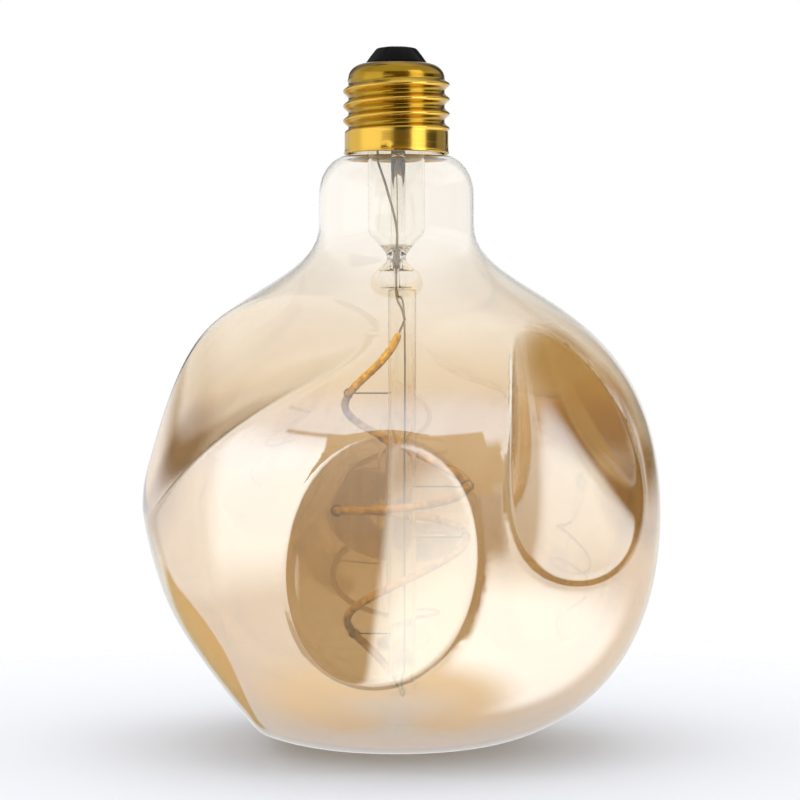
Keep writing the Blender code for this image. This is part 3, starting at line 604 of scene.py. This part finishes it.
def thread_wave(height, angle, top, bottom):
    """Share of the thread's depth at a height and an angle round the cap."""
    cap = settings("cap")
    turn = (height - cap.pitch * (angle - radians(THREAD_PHASE)) / (2 * pi)) / cap.pitch
    # The power makes the crests narrower than the roots.
    wave = (0.5 + 0.5 * cos(2 * pi * turn)) ** 1.5
    return wave * ease((top - height) / THREAD_FADE) * ease((height - bottom) / THREAD_FADE)


class BULB_OT_cap(bpy.types.Operator):
    """Rolls the brass screw shell with its thread, skirt and rim"""

    bl_idname = "bulb.cap"
    bl_label = "Screw cap"

    def execute(self, context):
        cap = settings("cap")
        thread_top = CAP_TOP - cap.shoulder
        skirt_top = CAP_RIM + cap.skirt_height
        outline = []
        for step in range(13):
            angle = pi / 2 * (1 - step / 12)
            reach = (cap.root_radius - cap.mouth_radius) * cos(angle)
            outline.append((cap.mouth_radius + reach, thread_top + cap.shoulder * sin(angle)))
        rows = round((thread_top - skirt_top) / cap.pitch * THREAD_ROWS)
        for row in range(1, rows + 1):
            height = thread_top + (skirt_top - thread_top) * row / rows
            blend = ease((skirt_top + THREAD_FADE - height) / THREAD_FADE)
            outline.append((cap.root_radius + (cap.skirt_radius - cap.root_radius) * blend, height))
        for row in range(1, 9):
            height = skirt_top + (CAP_RIM + RIM_HEIGHT - skirt_top) * row / 8
            outline.append((cap.skirt_radius, height))
        outline.append((cap.skirt_radius + 0.3 * RIM_FLARE, CAP_RIM + RIM_BEND))
        outline.append((cap.skirt_radius + RIM_FLARE, CAP_RIM))
        obj = turned_piece("cap_brass_shell", outline, CAP_STEPS, False)
        for vert in obj.data.vertices:
            angle = atan2(vert.co.y, vert.co.x)
            wave = thread_wave(vert.co.z, angle, thread_top, skirt_top)
            radius = vert.co.xy.length
            grown = radius + wave * (cap.crest_radius - cap.root_radius) - self.punch(vert.co)
            vert.co.xy *= grown / radius
        sheet = obj.modifiers.new("sheet", "SOLIDIFY")
        sheet.thickness = cap.sheet
        sheet.offset = -1.0
        finish_piece(obj, self.material(), "brass", "cap_shell")
        return {"FINISHED"}

    def punch(self, spot):
        """Depth of the four punch marks that hold the skirt on the glass."""
        cap = settings("cap")
        depth = 0.0
        for azimuth in PUNCH_AZIMUTHS:
            turn = radians(azimuth)
            across = Vector((sin(turn), -cos(turn))) * cap.skirt_radius
            away = (spot - Vector((*across, CAP_RIM + RIM_HEIGHT))).length
            depth = max(depth, PUNCH_DEPTH * ease(1 - away / PUNCH_RADIUS))
        return depth

    def material(self):
        """Rolled brass sheet, polished and lacquered: a warm mirror with fine lines round it and a
        browner root."""
        cap = settings("cap")
        made, tree, shader = new_material("polished rolled brass", Metallic=1.0)
        place = add_node(tree, "TexCoord")["Object"]
        spot = add_node(tree, "SeparateXYZ", [place])
        flat = add_node(tree, "CombineXYZ", [spot["X"], spot["Y"]])[0]
        radius = add_node(tree, "VectorMath", [flat], operation="LENGTH")["Value"]
        # Darker brown in the thread's root and in random blotches, polished brass over the crests
        depth = [radius, cap.root_radius - 0.1 * MM, cap.crest_radius - 0.4 * MM]
        root = add_node(tree, "MapRange", depth, interpolation_type="SMOOTHSTEP")[0]
        cloud = add_node(tree, "TexNoise", {"Vector": place, "Scale": 1 / (4 * MM), "Detail": 4.0})[0]
        brass_share = add_node(tree, "Math", [cloud, 0.3, root], operation="MULTIPLY_ADD", use_clamp=True)[0]
        colours = {0: brass_share, 6: rgba(linear("#876919")), 7: rgba(cap.brass)}
        shade = add_node(tree, "Mix", colours, data_type="RGBA")[2]
        # Rolling lines are a few hundredths of a millimetre: drawn ten times coarser, so that they show.
        stretch = (40, 40, 1 / (0.25 * MM))
        lines = add_node(tree, "VectorMath", [place, stretch], operation="MULTIPLY")[0]
        grain = add_node(tree, "TexNoise", {"Vector": lines, "Scale": 1.0, "Detail": 2.0})[0]
        rough = add_node(tree, "MapRange", [grain, 0.0, 1.0, 0.12, 0.3])[0]
        relief = add_node(tree, "Bump", {"Height": grain, "Strength": 0.05, "Distance": 0.1 * MM})[0]
        feed(tree, shader, Base_Color=shade, Roughness=rough, Normal=relief)
        return made


class BULB_OT_insulator(bpy.types.Operator):
    """Casts the black insulator and seats the contact in it"""

    bl_idname = "bulb.insulator"
    bl_label = "Insulator and contact"

    def execute(self, context):
        cap = settings("cap")
        spigot = cap.mouth_radius - cap.sheet - SEAT_GAP
        flange = cap.mouth_radius + FLANGE_REACH
        floor = INSULATOR_TOP - RECESS_DEPTH
        outline = rounded(
            [
                (RECESS_RADIUS, INSULATOR_TOP),
                (CONE_RADIUS, INSULATOR_TOP),
                (CONE_WAIST, INSULATOR_TOP - CONE_DROP),
                (cap.mouth_radius, CAP_TOP + 0.1 * MM),
                (spigot, CAP_TOP + 0.05 * MM),
                (spigot, CAP_TOP - FLANGE_DROP),
                (flange, CAP_TOP - FLANGE_DROP - cap.sheet),
                (flange, INSULATOR_BOTTOM),
                (SHANK_HOLE, INSULATOR_BOTTOM),
                (SHANK_HOLE, floor),
                (RECESS_RADIUS, floor),
            ],
            0.45 * MM,
            True,
        )
        obj = turned_piece("insulator_cone", outline, 96, True)
        finish_piece(obj, self.black_glass(), "black_glass", "cap_insulator")
        head = floor + SEAT_GAP
        outline = [(0.0, CONTACT_TOP)] + rounded(
            [
                (0.6 * MM, CONTACT_TOP),
                (CONTACT_RADIUS - 0.2 * MM, CONTACT_TOP),
                (CONTACT_RADIUS, head),
                (SHANK_RADIUS, head),
                (SHANK_RADIUS, CONTACT_BOTTOM),
                (0.2 * MM, CONTACT_BOTTOM),
            ],
            0.2 * MM,
        )
        outline.append((0.0, CONTACT_BOTTOM))
        contact = turned_piece("contact_rivet", outline, 64, False)
        finish_piece(contact, self.solder(), "solder", "centre_contact")
        return {"FINISHED"}

    def black_glass(self):
        """Pressed black slag glass: deep gloss with slow ripples and dull mould marks."""
        return mottled(
            "pressed black glass",
            size=2.5 * MM,
            detail=3.0,
            colours=("#050505", "#0E0D0C"),
            rough=(0.08, 0.35),
            relief=(0.15, 0.2 * MM),
            IOR=1.52,
            Specular_IOR_Level=0.05,
        )

    def solder(self):
        """Tinned brass: grey and satin, dimpled where the solder froze."""
        return mottled(
            "tinned contact",
            size=1.2 * MM,
            detail=3.0,
            colours=("#9A9A98", "#D2D2CE"),
            rough=(0.25, 0.5),
            relief=(0.3, 0.2 * MM),
            Metallic=1.0,
        )


class BULB_OT_stem(bpy.types.Operator):
    """Draws the glass stem, its pump tube and the rod tube"""

    bl_idname = "bulb.stem"
    bl_label = "Glass stem"

    def execute(self, context):
        clear = self.material()
        self.press_stem(clear)
        tip_bottom = EXHAUST_TOP - PUMP_RADIUS
        turns = [pi / 20 * k for k in range(11)]
        outline = [(PUMP_RADIUS * sin(turn), tip_bottom + PUMP_RADIUS * cos(turn)) for turn in turns]
        bore = PUMP_RADIUS - PUMP_WALL
        outline += [(PUMP_RADIUS, EXHAUST_BOTTOM), (bore, EXHAUST_BOTTOM)]
        outline += [(bore, tip_bottom), (0.0, EXHAUST_TOP - PUMP_WALL)]
        exhaust = turned_piece("pump_tube_glass", outline, 32, False, (PUMP_OFFSET, 0.0))
        sharpen(exhaust, SHARP_ANGLE)
        finish_piece(exhaust, clear, "clear_glass", "exhaust_tube")
        bore = ROD_RADIUS - ROD_WALL
        corners = [(bore, ROD_TOP), (ROD_RADIUS, ROD_TOP), (ROD_RADIUS, ROD_BOTTOM), (bore, ROD_BOTTOM)]
        rod = turned_piece("rod_glass", rounded(corners, ROD_WALL / 2, True), 48, True, (ROD_X, 0.0))
        finish_piece(rod, clear, "clear_glass", "support_tube")
        return {"FINISHED"}

    def press_stem(self, clear):
        """Turns the flare tube down to its bead, presses it flat and leaves the leads their bores."""
        tube, wall, rim = STEM_RADIUS, STEM_WALL, STEM_RIM
        floor = PRESS_THROAT + PRESS_FLOOR
        flare = []
        for step in range(13):
            angle = pi / 2 * step / 12
            drop = (STEM_TOP - wall - FLARE_BEND) * (1 - sin(angle))
            flare.append((rim + (tube - rim) * sin(angle), FLARE_BEND + drop))
        flare[0] = (rim, STEM_TOP)
        levels = np.linspace(PRESS_TOP, BEAD_TOP, 40)
        inner = [(0.0, floor), (tube - wall - 1.2 * MM, floor + 0.1 * MM), (tube - wall, floor + 1.2 * MM)]
        inner += [(tube - wall, level) for level in levels[::-1] if level > floor + 1.4 * MM]
        inner += [(radius - wall, height) for radius, height in flare[::-1]]
        outer = [*flare, *((tube, level) for level in levels[:-1])]
        corners = [(BEAD_RADIUS, BEAD_TOP), (BEAD_RADIUS, STEM_BOTTOM), (0.1 * MM, STEM_BOTTOM)]
        bead = rounded(corners, BEAD_ROUND, False, 6)
        outline = [*inner, *outer, *bead, (0.0, STEM_BOTTOM)]
        obj = turned_piece("stem_glass", outline, STEM_STEPS, False)
        for vert in obj.data.vertices:
            vert.co.x *= self.flatness(vert.co.z)
        self.bore(obj)
        finish_piece(obj, clear, "clear_glass", "stem_flare")

    def flatness(self, height):
        """Thickness across X over length along Y, as the press leaves it."""
        waist, bead = PRESS_HALF / STEM_RADIUS, BEAD_HALF / BEAD_RADIUS
        if height > PRESS_THROAT:
            return 1 - (1 - waist) * ease((PRESS_TOP - height) / (PRESS_TOP - PRESS_THROAT))
        return waist + (bead - waist) * ease((PRESS_THROAT - height) / (PRESS_THROAT - BEAD_TOP))

    def bore(self, obj):
        """Leaves the two leads their way through the press."""
        link(obj)
        top, foot = PRESS_THROAT + 5 * MM, STEM_BOTTOM - MM
        outline = [(0.0, top), (LEAD_BORE, top), (LEAD_BORE, foot), (0.0, foot)]
        drills = [
            turned_piece(f"lead_drill_{number}", outline, 16, False, (0.0, side))
            for number, side in enumerate((-LEAD_SIDE, LEAD_SIDE))
        ]
        for drill in drills:
            link(drill)
            cut = obj.modifiers.new("lead", "BOOLEAN")
            cut.operation = "DIFFERENCE"
            cut.object = drill
        graph = bpy.context.evaluated_depsgraph_get()
        cut_mesh = bpy.data.meshes.new_from_object(obj.evaluated_get(graph))
        obj.modifiers.clear()
        obj.data = cut_mesh
        for drill in drills:
            bpy.data.objects.remove(drill)
        sharpen(obj, SHARP_ANGLE)

    def material(self):
        """Drawn lead-free tube glass: clear, with a faint grey in its edges and slow draw lines."""
        clear = rgba(linear("#FEFEFC"))
        made, tree, shader = new_material(
            "drawn clear glass", IOR=1.5, Roughness=0.0, Transmission_Weight=1.0, Base_Color=clear
        )
        place = add_node(tree, "TexCoord")["Object"]
        drawn = add_node(tree, "VectorMath", [place, (1.0, 1.0, 0.08)], operation="MULTIPLY")[0]
        lines = add_node(tree, "TexNoise", {"Vector": drawn, "Scale": 1 / (2 * MM), "Detail": 1.0})[0]
        relief = add_node(tree, "Bump", {"Height": lines, "Strength": 0.05, "Distance": 0.1 * MM})[0]
        feed(tree, shader, Normal=relief)
        return made


def filament_angle(share):
    return radians(FILAMENT_START) - 2 * pi * settings("filament").turns * share


def filament_point(share):
    """Point of the spiral at a share of its way down, drawn in to the rod at both ends."""
    strip = settings("filament")
    drop = share + strip.crowding * sin(2 * pi * share) / (2 * pi)
    swell = ease(min(share, 1 - share) / FILAMENT_EASE)
    radius = strip.end_radius + (strip.spiral_radius - strip.end_radius) * swell
    angle = filament_angle(share)
    height = strip.top + (strip.bottom - strip.top) * drop
    return Vector((ROD_X + radius * cos(angle), radius * sin(angle), height))


def filament_direction(share):
    step = 0.001
    return (filament_point(min(share + step, 1.0)) - filament_point(max(share - step, 0.0))).normalized()


def swept_piece(name, points, radii, sides):
    """Round tube along points, each with its own radius, with rounded ends."""
    steps = zip([points[0], *points], [*points[1:], points[-1]])
    directions = [(after - before).normalized() for before, after in steps]
    side = directions[0].orthogonal().normalized()
    vertices, faces = [points[0] - directions[0] * radii[0] * 0.4], []
    for point, direction, radius in zip(points, directions, radii):
        side = (side - direction * side.dot(direction)).normalized()
        other = direction.cross(side)
        for k in range(sides):
            turn = 2 * pi * k / sides
            vertices.append(point + (side * cos(turn) + other * sin(turn)) * radius)
    vertices.append(points[-1] + directions[-1] * radii[-1] * 0.4)
    last = len(vertices) - 1
    for ring in range(len(points) - 1):
        for k in range(sides):
            a, b = 1 + ring * sides + k, 1 + ring * sides + (k + 1) % sides
            faces.append((a, b, b + sides, a + sides))
    for k in range(sides):
        faces.append((0, 1 + (k + 1) % sides, 1 + k))
        faces.append((last, last - sides + k, last - sides + (k + 1) % sides))
    return mesh_piece(name, [tuple(vertex) for vertex in vertices], faces)


class BULB_OT_filament(bpy.types.Operator):
    """Winds the LED filament as a spiral round the rod"""

    bl_idname = "bulb.filament"
    bl_label = "LED filament"

    def execute(self, context):
        strip = settings("filament")
        count = FILAMENT_STEPS
        points = [filament_point(k / count) for k in range(count + 1)]
        # The strip swells a little over its chips, and its ends are rounded.
        radii = [strip.radius * (0.97 + 0.03 * sin(k * 1.9)) for k in range(count + 1)]
        for k, share in enumerate((0.55, 0.8, 0.93)):
            radii[k] *= share
            radii[count - k] *= share
        obj = swept_piece("filament_strip", points, radii, 16)
        finish_piece(obj, self.material(), "phosphor", "led_filament")
        return {"FINISHED"}

    def material(self):
        """Phosphor in silicone: opaque amber yellow, mottled where the chips lie under it. It also glows a
        little in its own colour, a painted glow that stands in for the light the glass walls keep from it in
        the render."""
        strip = settings("filament")
        # Emission is painted light: the unlit strip glows faintly by itself in its mottled colour
        made, tree, shader = new_material(
            "phosphor silicone", Roughness=0.42, IOR=1.41, Emission_Strength=0.1
        )
        place = add_node(tree, "TexCoord")["Object"]
        grain = add_node(tree, "TexNoise", {"Vector": place, "Scale": 1 / (1.6 * MM), "Detail": 3.0})[0]
        spread = add_node(tree, "MapRange", [grain, 0.3, 0.7])[0]
        colours = {0: spread, 6: rgba(linear("#8A6012")), 7: rgba(strip.phosphor)}
        shade = add_node(tree, "Mix", colours, data_type="RGBA")[2]
        relief = add_node(tree, "Bump", {"Height": grain, "Strength": 0.3, "Distance": 0.15 * MM})[0]
        feed(tree, shader, Base_Color=shade, Emission_Color=shade, Normal=relief)
        return made


def smooth_route(points, step):
    """Even points of a smooth curve through the route's own points."""
    ends = [points[0] * 2 - points[1], *points, points[-1] * 2 - points[-2]]
    route = [points[0]]
    for before, start, end, after in zip(ends, ends[1:], ends[2:], ends[3:]):
        count = max(1, ceil((end - start).length / step))
        for k in range(1, count + 1):
            t = k / count
            bend = (before * 2 - start * 5 + end * 4 - after) * t * t
            twist = (start * 3 - before - end * 3 + after) * t**3
            route.append((start * 2 + (end - before) * t + bend + twist) * 0.5)
    return route


class BULB_OT_wires(bpy.types.Operator):
    """Bends the leads, the hooks that hold the turns and the tabs at the filament's ends"""

    bl_idname = "bulb.wires"
    bl_label = "Wires and tabs"

    def execute(self, context):
        nickel = self.material()
        top_end = self.tab("tab_strip_top", "filament_tab_top", 0.0, -1, nickel)
        bottom_end = self.tab("tab_strip_bottom", "filament_tab_bottom", 1.0, 1, nickel)
        self.leads(top_end, bottom_end, nickel)
        self.hooks(nickel)
        return {"FINISHED"}

    def tab(self, name, node, share, outward, nickel):
        """Flat metal strip at one end of the filament. Returns the middle of its far end."""
        end = filament_point(share)
        way = filament_direction(share) * outward
        turn = way.to_track_quat("Z", "Y").to_matrix().to_4x4()
        middle = Matrix.Translation(end + way * (TAB_SIZE[2] / 2 + TAB_GAP))
        mesh = bpy.data.meshes.new(name)
        with edited(mesh) as shape:
            bmesh.ops.create_cube(shape, size=1.0, matrix=Matrix.Diagonal((*TAB_SIZE, 1.0)))
            bmesh.ops.transform(shape, matrix=middle @ turn, verts=shape.verts)
            edges = shape.edges[:]
            bmesh.ops.bevel(shape, geom=edges, offset=TAB_BEVEL, segments=2, affect="EDGES", profile=0.5)
        finish_piece(bpy.data.objects.new(name, mesh), nickel, "nickel", node)
        return end + way * (TAB_SIZE[2] + 2 * TAB_GAP)

    def through_press(self, side, start, between, shares):
        """Points of a lead from the cap to just under the press, which it meets at its side."""
        levels = (STEM_TOP + 0.1 * MM, FLARE_BEND - 1.5 * MM, (FLARE_BEND + PRESS_TOP) / 2)
        ways = zip((start, start, between), shares, levels)
        points = [Vector((across, side * share, level)) for across, share, level in ways]
        pressed = (PRESS_TOP, PRESS_THROAT, STEM_BOTTOM - 1.5 * MM)
        return points + [Vector((0.0, side, level)) for level in pressed]

    def leads(self, top_end, bottom_end, nickel):
        """Two wires that come down from the cap through the press, one to each end of the filament."""
        strip = settings("filament")
        front, back = -LEAD_SIDE, LEAD_SIDE
        live = self.through_press(front, start=-4.6 * MM, between=-2.3 * MM, shares=(1 / 6, 1 / 3, 3 / 4))
        live += [(Vector((0.0, front, STEM_BOTTOM)) + top_end * 2) / 3, top_end]
        back_return = self.through_press(back, start=-0.4 * MM, between=0.0, shares=(1 / 5, 1 / 2, 7 / 8))
        beside = bottom_end.x + 0.8 * MM
        for level in (STEM_BOTTOM - 8 * MM, (strip.top + strip.bottom) / 2, strip.bottom + 1.5 * MM):
            back_return.append(Vector((beside, back, level)))
        back_return.append(bottom_end)
        for name, node, points in (
            ("lead_live", "lead_wire_live", live),
            ("lead_return", "lead_wire_return", back_return),
        ):
            route = smooth_route(points, 0.8 * MM)
            obj = swept_piece(name, route, [LEAD_RADIUS] * len(route), 12)
            finish_piece(obj, nickel, "nickel", node)

    def hooks(self, nickel):
        """Thin wires that stand out from the rod and loop round a turn of the filament."""
        span = 2 * pi * settings("filament").turns
        for number in range(1, HOOK_COUNT + 1):
            share = (number * pi + radians(FILAMENT_START)) / span
            middle = filament_point(share)
            angle = filament_angle(share)
            out = Vector((cos(angle), sin(angle), 0.0))
            across = filament_direction(share).cross(out).normalized()
            loop = settings("filament").radius + 0.3 * MM
            points = [Vector((ROD_X, 0.0, middle.z)) + out * (ROD_RADIUS + 0.15 * MM)]
            points.append(points[0] + out * 3 * MM)
            for k in range(HOOK_STEPS + 1):
                turn = pi - radians(HOOK_ARC) * k / HOOK_STEPS
                points.append(middle + out * (loop * cos(turn)) + across * (loop * sin(turn)))
            obj = swept_piece(f"hook_{number}", points, [HOOK_RADIUS] * len(points), 10)
            finish_piece(obj, nickel, "nickel", f"support_hook_{number}")

    def material(self):
        """Drawn nickel wire, annealed in the flame: grey, satin, with straw-coloured heat tint."""
        return mottled(
            "annealed nickel wire",
            size=5 * MM,
            detail=2.0,
            colours=("#8C8377", "#B9A98C"),
            rough=(0.25, 0.45),
            Metallic=1.0,
        )


class BULB_OT_driver(bpy.types.Operator):
    """Gives the pieces inside the cap their finishes"""

    bl_idname = "bulb.driver"
    bl_label = "Driver in the cap"

    def execute(self, context):
        # Green lacquer over laminate: satin and faintly mottled
        mask = self.speckled("solder-masked board", "#0F4A27", "#1B6B3C", 0.5 * MM, 0.45)
        # Black moulding compound: dull, with a fine grain of filler
        epoxy = self.speckled("moulded epoxy", "#141416", "#232326", 0.2 * MM, 0.6)
        finishes = {
            "driver_board": mask,
            "radio_module": mask,
            "bridge_rectifier": epoxy,
            "driver_chip": epoxy,
            # Film shrunk on with heat: dark blue, smooth and satin
            "smoothing_capacitor": self.speckled("shrink sleeve", "#1A2038", "#252D4A", 2 * MM, 0.35),
            # Pressed and fired oxide: near black and chalky
            "choke": self.speckled("sintered ferrite", "#2B2B2C", "#3D3C3B", 0.3 * MM, 0.7),
            # Dipped coat: blue grey, with soft sags
            "fuse_resistor": self.speckled("dipped ceramic", "#7E93A6", "#9DB0BF", 1 * MM, 0.5),
            # Braided glass yarn: off-white and dull, one sleeve browner than the other
            "live_wire": self.speckled("glass-fibre sleeving", "#D9D5C8", "#F0EDE4", 0.4 * MM, 0.7),
            "neutral_wire": self.speckled("glass-fibre sleeve", "#CFC9BA", "#E8E4D8", 0.4 * MM, 0.7),
            # Resin and filler cured by heat: buff and gritty
            "cap_cement": self.speckled("cured cap cement", "#A89C86", "#C9BFAB", 0.8 * MM, 0.9),
        }
        for node, material in finishes.items():
            mesh = frame["nodes"][node].data
            mesh.materials.clear()
            mesh.materials.append(material)
        return {"FINISHED"}

    def speckled(self, name, dark, light, grain, roughness):
        """Piece whose colour and height vary with its grain."""
        relief = (0.2, grain / 4)
        return mottled(name, grain, 3.0, (dark, light), relief=relief, Roughness=roughness)


class BULB_OT_stage(bpy.types.Operator):
    """Sets the floor, the studio light and the camera"""

    bl_idname = "bulb.stage"
    bl_label = "Stage"

    def execute(self, context):
        stage = settings("stage")
        self.floor(stage)
        self.world()
        self.softbox()
        self.kicker()
        self.fill()
        camera = bpy.data.objects.new("camera", bpy.data.cameras.new("camera"))
        link(camera)
        camera.data.lens = stage.lens
        camera.data.clip_start = 0.01
        camera.location = (stage.side, -stage.distance, stage.height)
        aim(camera, (stage.side, 0.0, stage.aim))
        context.scene.camera = camera
        context.scene.view_settings.view_transform = "Standard"
        # A look through neck, flare and pump tube crosses sixteen faces of glass.
        context.scene.cycles.max_bounces = GLASS_BOUNCES
        context.scene.cycles.transmission_bounces = GLASS_BOUNCES
        context.scene.cycles.transparent_max_bounces = GLASS_BOUNCES
        return {"FINISHED"}

    def floor(self, stage):
        """Round white sheet that fades out into the white behind it."""
        floor = turned_piece("floor", [(0.0, 0.0), (FLOOR_REACH, 0.0)], 96, False)
        link(floor)
        made, tree, shader = new_material("white paper sweep", Roughness=0.7, Base_Color=rgba(stage.floor))
        place = add_node(tree, "TexCoord")["Object"]
        away = add_node(tree, "VectorMath", [place], operation="LENGTH")["Value"]
        fade = add_node(tree, "MapRange", [away, *FLOOR_FADE], interpolation_type="SMOOTHSTEP")[0]
        feed(tree, shader, Alpha=fade)
        floor.data.materials.append(made)
        floor.visible_glossy = False

    def world(self):
        """White studio. Only reflections show its cards: azimuth 0 faces -Y and grows towards +X."""
        world = bpy.data.worlds.new("studio")
        bpy.context.scene.world = world
        world.use_nodes = True
        tree = world.node_tree
        place = add_node(tree, "TexCoord")["Generated"]
        way = add_node(tree, "SeparateXYZ", [place])
        front = add_node(tree, "Math", [way["Y"], -1.0], operation="MULTIPLY")[0]
        azimuth = add_node(tree, "Math", [way["X"], front], operation="ARCTAN2")[0]
        rise = add_node(tree, "Math", [way["Z"]], operation="ARCSINE")[0]
        white = (1.0, 1.0, 1.0, 1.0)
        studio = white
        for card in CARDS:
            inside = 1.0
            for value, start, end in (
                (azimuth, card.left, card.left + card.soft),
                (azimuth, card.right, card.right - card.soft),
                (rise, card.low, card.low + card.soft),
                (rise, card.high, card.high - card.soft),
            ):
                fade = [value, radians(start), radians(end)]
                edge = add_node(tree, "MapRange", fade, interpolation_type="SMOOTHSTEP")[0]
                inside = add_node(tree, "Math", [inside, edge], operation="MULTIPLY")[0]
            shade = rgba(card.light * part for part in linear(card.colour))
            studio = add_node(tree, "Mix", {0: inside, 6: studio, 7: shade}, data_type="RGBA")[2]
        # Only what is mirrored on the outside shows the cards: inside the glass they would outline its walls.
        ray = add_node(tree, "LightPath")
        depths = [ray["Transmission Depth"], -99.0, ray["Glossy Depth"]]
        outside = add_node(tree, "Math", depths, operation="MULTIPLY_ADD")[0]
        mirrored = add_node(tree, "Math", [outside, 0.5], operation="GREATER_THAN")[0]
        seen = add_node(tree, "Mix", {0: mirrored, 6: white, 7: studio}, data_type="RGBA")[2]
        background = tree.nodes["Background"]
        background.inputs["Strength"].default_value = 1.0
        feed(tree, background, Color=seen)

    def lamp(self, name, width, height, watts, place):
        """Rectangular lamp that neither the camera nor a look through glass sees."""
        made = bpy.data.lights.new(name, "AREA")
        made.shape = "RECTANGLE"
        made.size = width
        made.size_y = height
        made.energy = watts
        holder = bpy.data.objects.new(name, made)
        link(holder)
        holder.location = place
        holder.visible_camera = False
        holder.visible_transmission = False
        return holder

    def light_only(self, holder, piece):
        """Lets a lamp light one piece alone. Returns the collection that holds the piece."""
        lit = bpy.data.collections.new("lit_by_" + holder.name)
        lit.objects.link(bpy.data.objects[piece])
        holder.light_linking.receiver_collection = lit
        return lit

    def softbox(self):
        """Wide lamp overhead, for the soft shadow on the floor."""
        holder = self.lamp("softbox", width=0.9, height=0.7, watts=2.0, place=(0.0, 0.0, 1.1))
        holder.visible_glossy = False

    def kicker(self):
        """Tall card at the right front that only the cap mirrors, for the bright stripe down its thread."""
        turn, away = radians(50), 0.5
        place = (away * sin(turn), -away * cos(turn), CAP_TOP + 0.05)
        holder = self.lamp("kicker", width=0.3, height=0.6, watts=1.4, place=place)
        aim(holder, (0.0, 0.0, CAP_TOP - 0.012))
        self.light_only(holder, "cap_brass_shell")

    def fill(self):
        """Lamp in front for the filament alone, whose light passes the glass as if it weren't there,
        because a render loses most of the light that two walls of glass let through."""
        holder = self.lamp("fill", width=0.6, height=0.6, watts=8.0, place=(-0.15, -0.6, 0.35))
        aim(holder, (0.0, 0.0, 0.06))
        holder.visible_glossy = False
        holder.light_linking.blocker_collection = self.light_only(holder, "filament_strip")


class BULB_PT_panel(bpy.types.Panel):
    """Lists the steps that build the bulb"""

    bl_label = "Filament bulb"
    bl_idname = "BULB_PT_panel"
    bl_space_type = "VIEW_3D"
    bl_region_type = "UI"
    bl_category = "Bulb"

    def draw(self, context):
        for group in GROUPS:
            box = self.layout.box()
            values = settings(group)
            for name in values.bl_rna.properties.keys():
                if name not in ("rna_type", "name"):
                    box.prop(values, name)
        for operator in OPERATORS:
            self.layout.operator(operator.bl_idname)


GROUPS = {
    "glass": BULB_PG_glass,
    "cap": BULB_PG_cap,
    "filament": BULB_PG_filament,
    "stage": BULB_PG_stage,
}
OPERATORS = (
    BULB_OT_glass,
    BULB_OT_cap,
    BULB_OT_insulator,
    BULB_OT_stem,
    BULB_OT_filament,
    BULB_OT_wires,
    BULB_OT_driver,
    BULB_OT_stage,
)


def register():
    for group, kind in GROUPS.items():
        bpy.utils.register_class(kind)
        setattr(bpy.types.Scene, "bulb_" + group, PointerProperty(type=kind))
    for operator in OPERATORS:
        bpy.utils.register_class(operator)
    bpy.utils.register_class(BULB_PT_panel)


def unregister():
    bpy.utils.unregister_class(BULB_PT_panel)
    for operator in reversed(OPERATORS):
        bpy.utils.unregister_class(operator)
    for group, kind in GROUPS.items():
        delattr(bpy.types.Scene, "bulb_" + group)
        bpy.utils.unregister_class(kind)


def main():
    register()
    for operator in OPERATORS:
        family, name = operator.bl_idname.split(".")
        getattr(getattr(bpy.ops, family), name)()


if __name__ == "__main__":
    main()
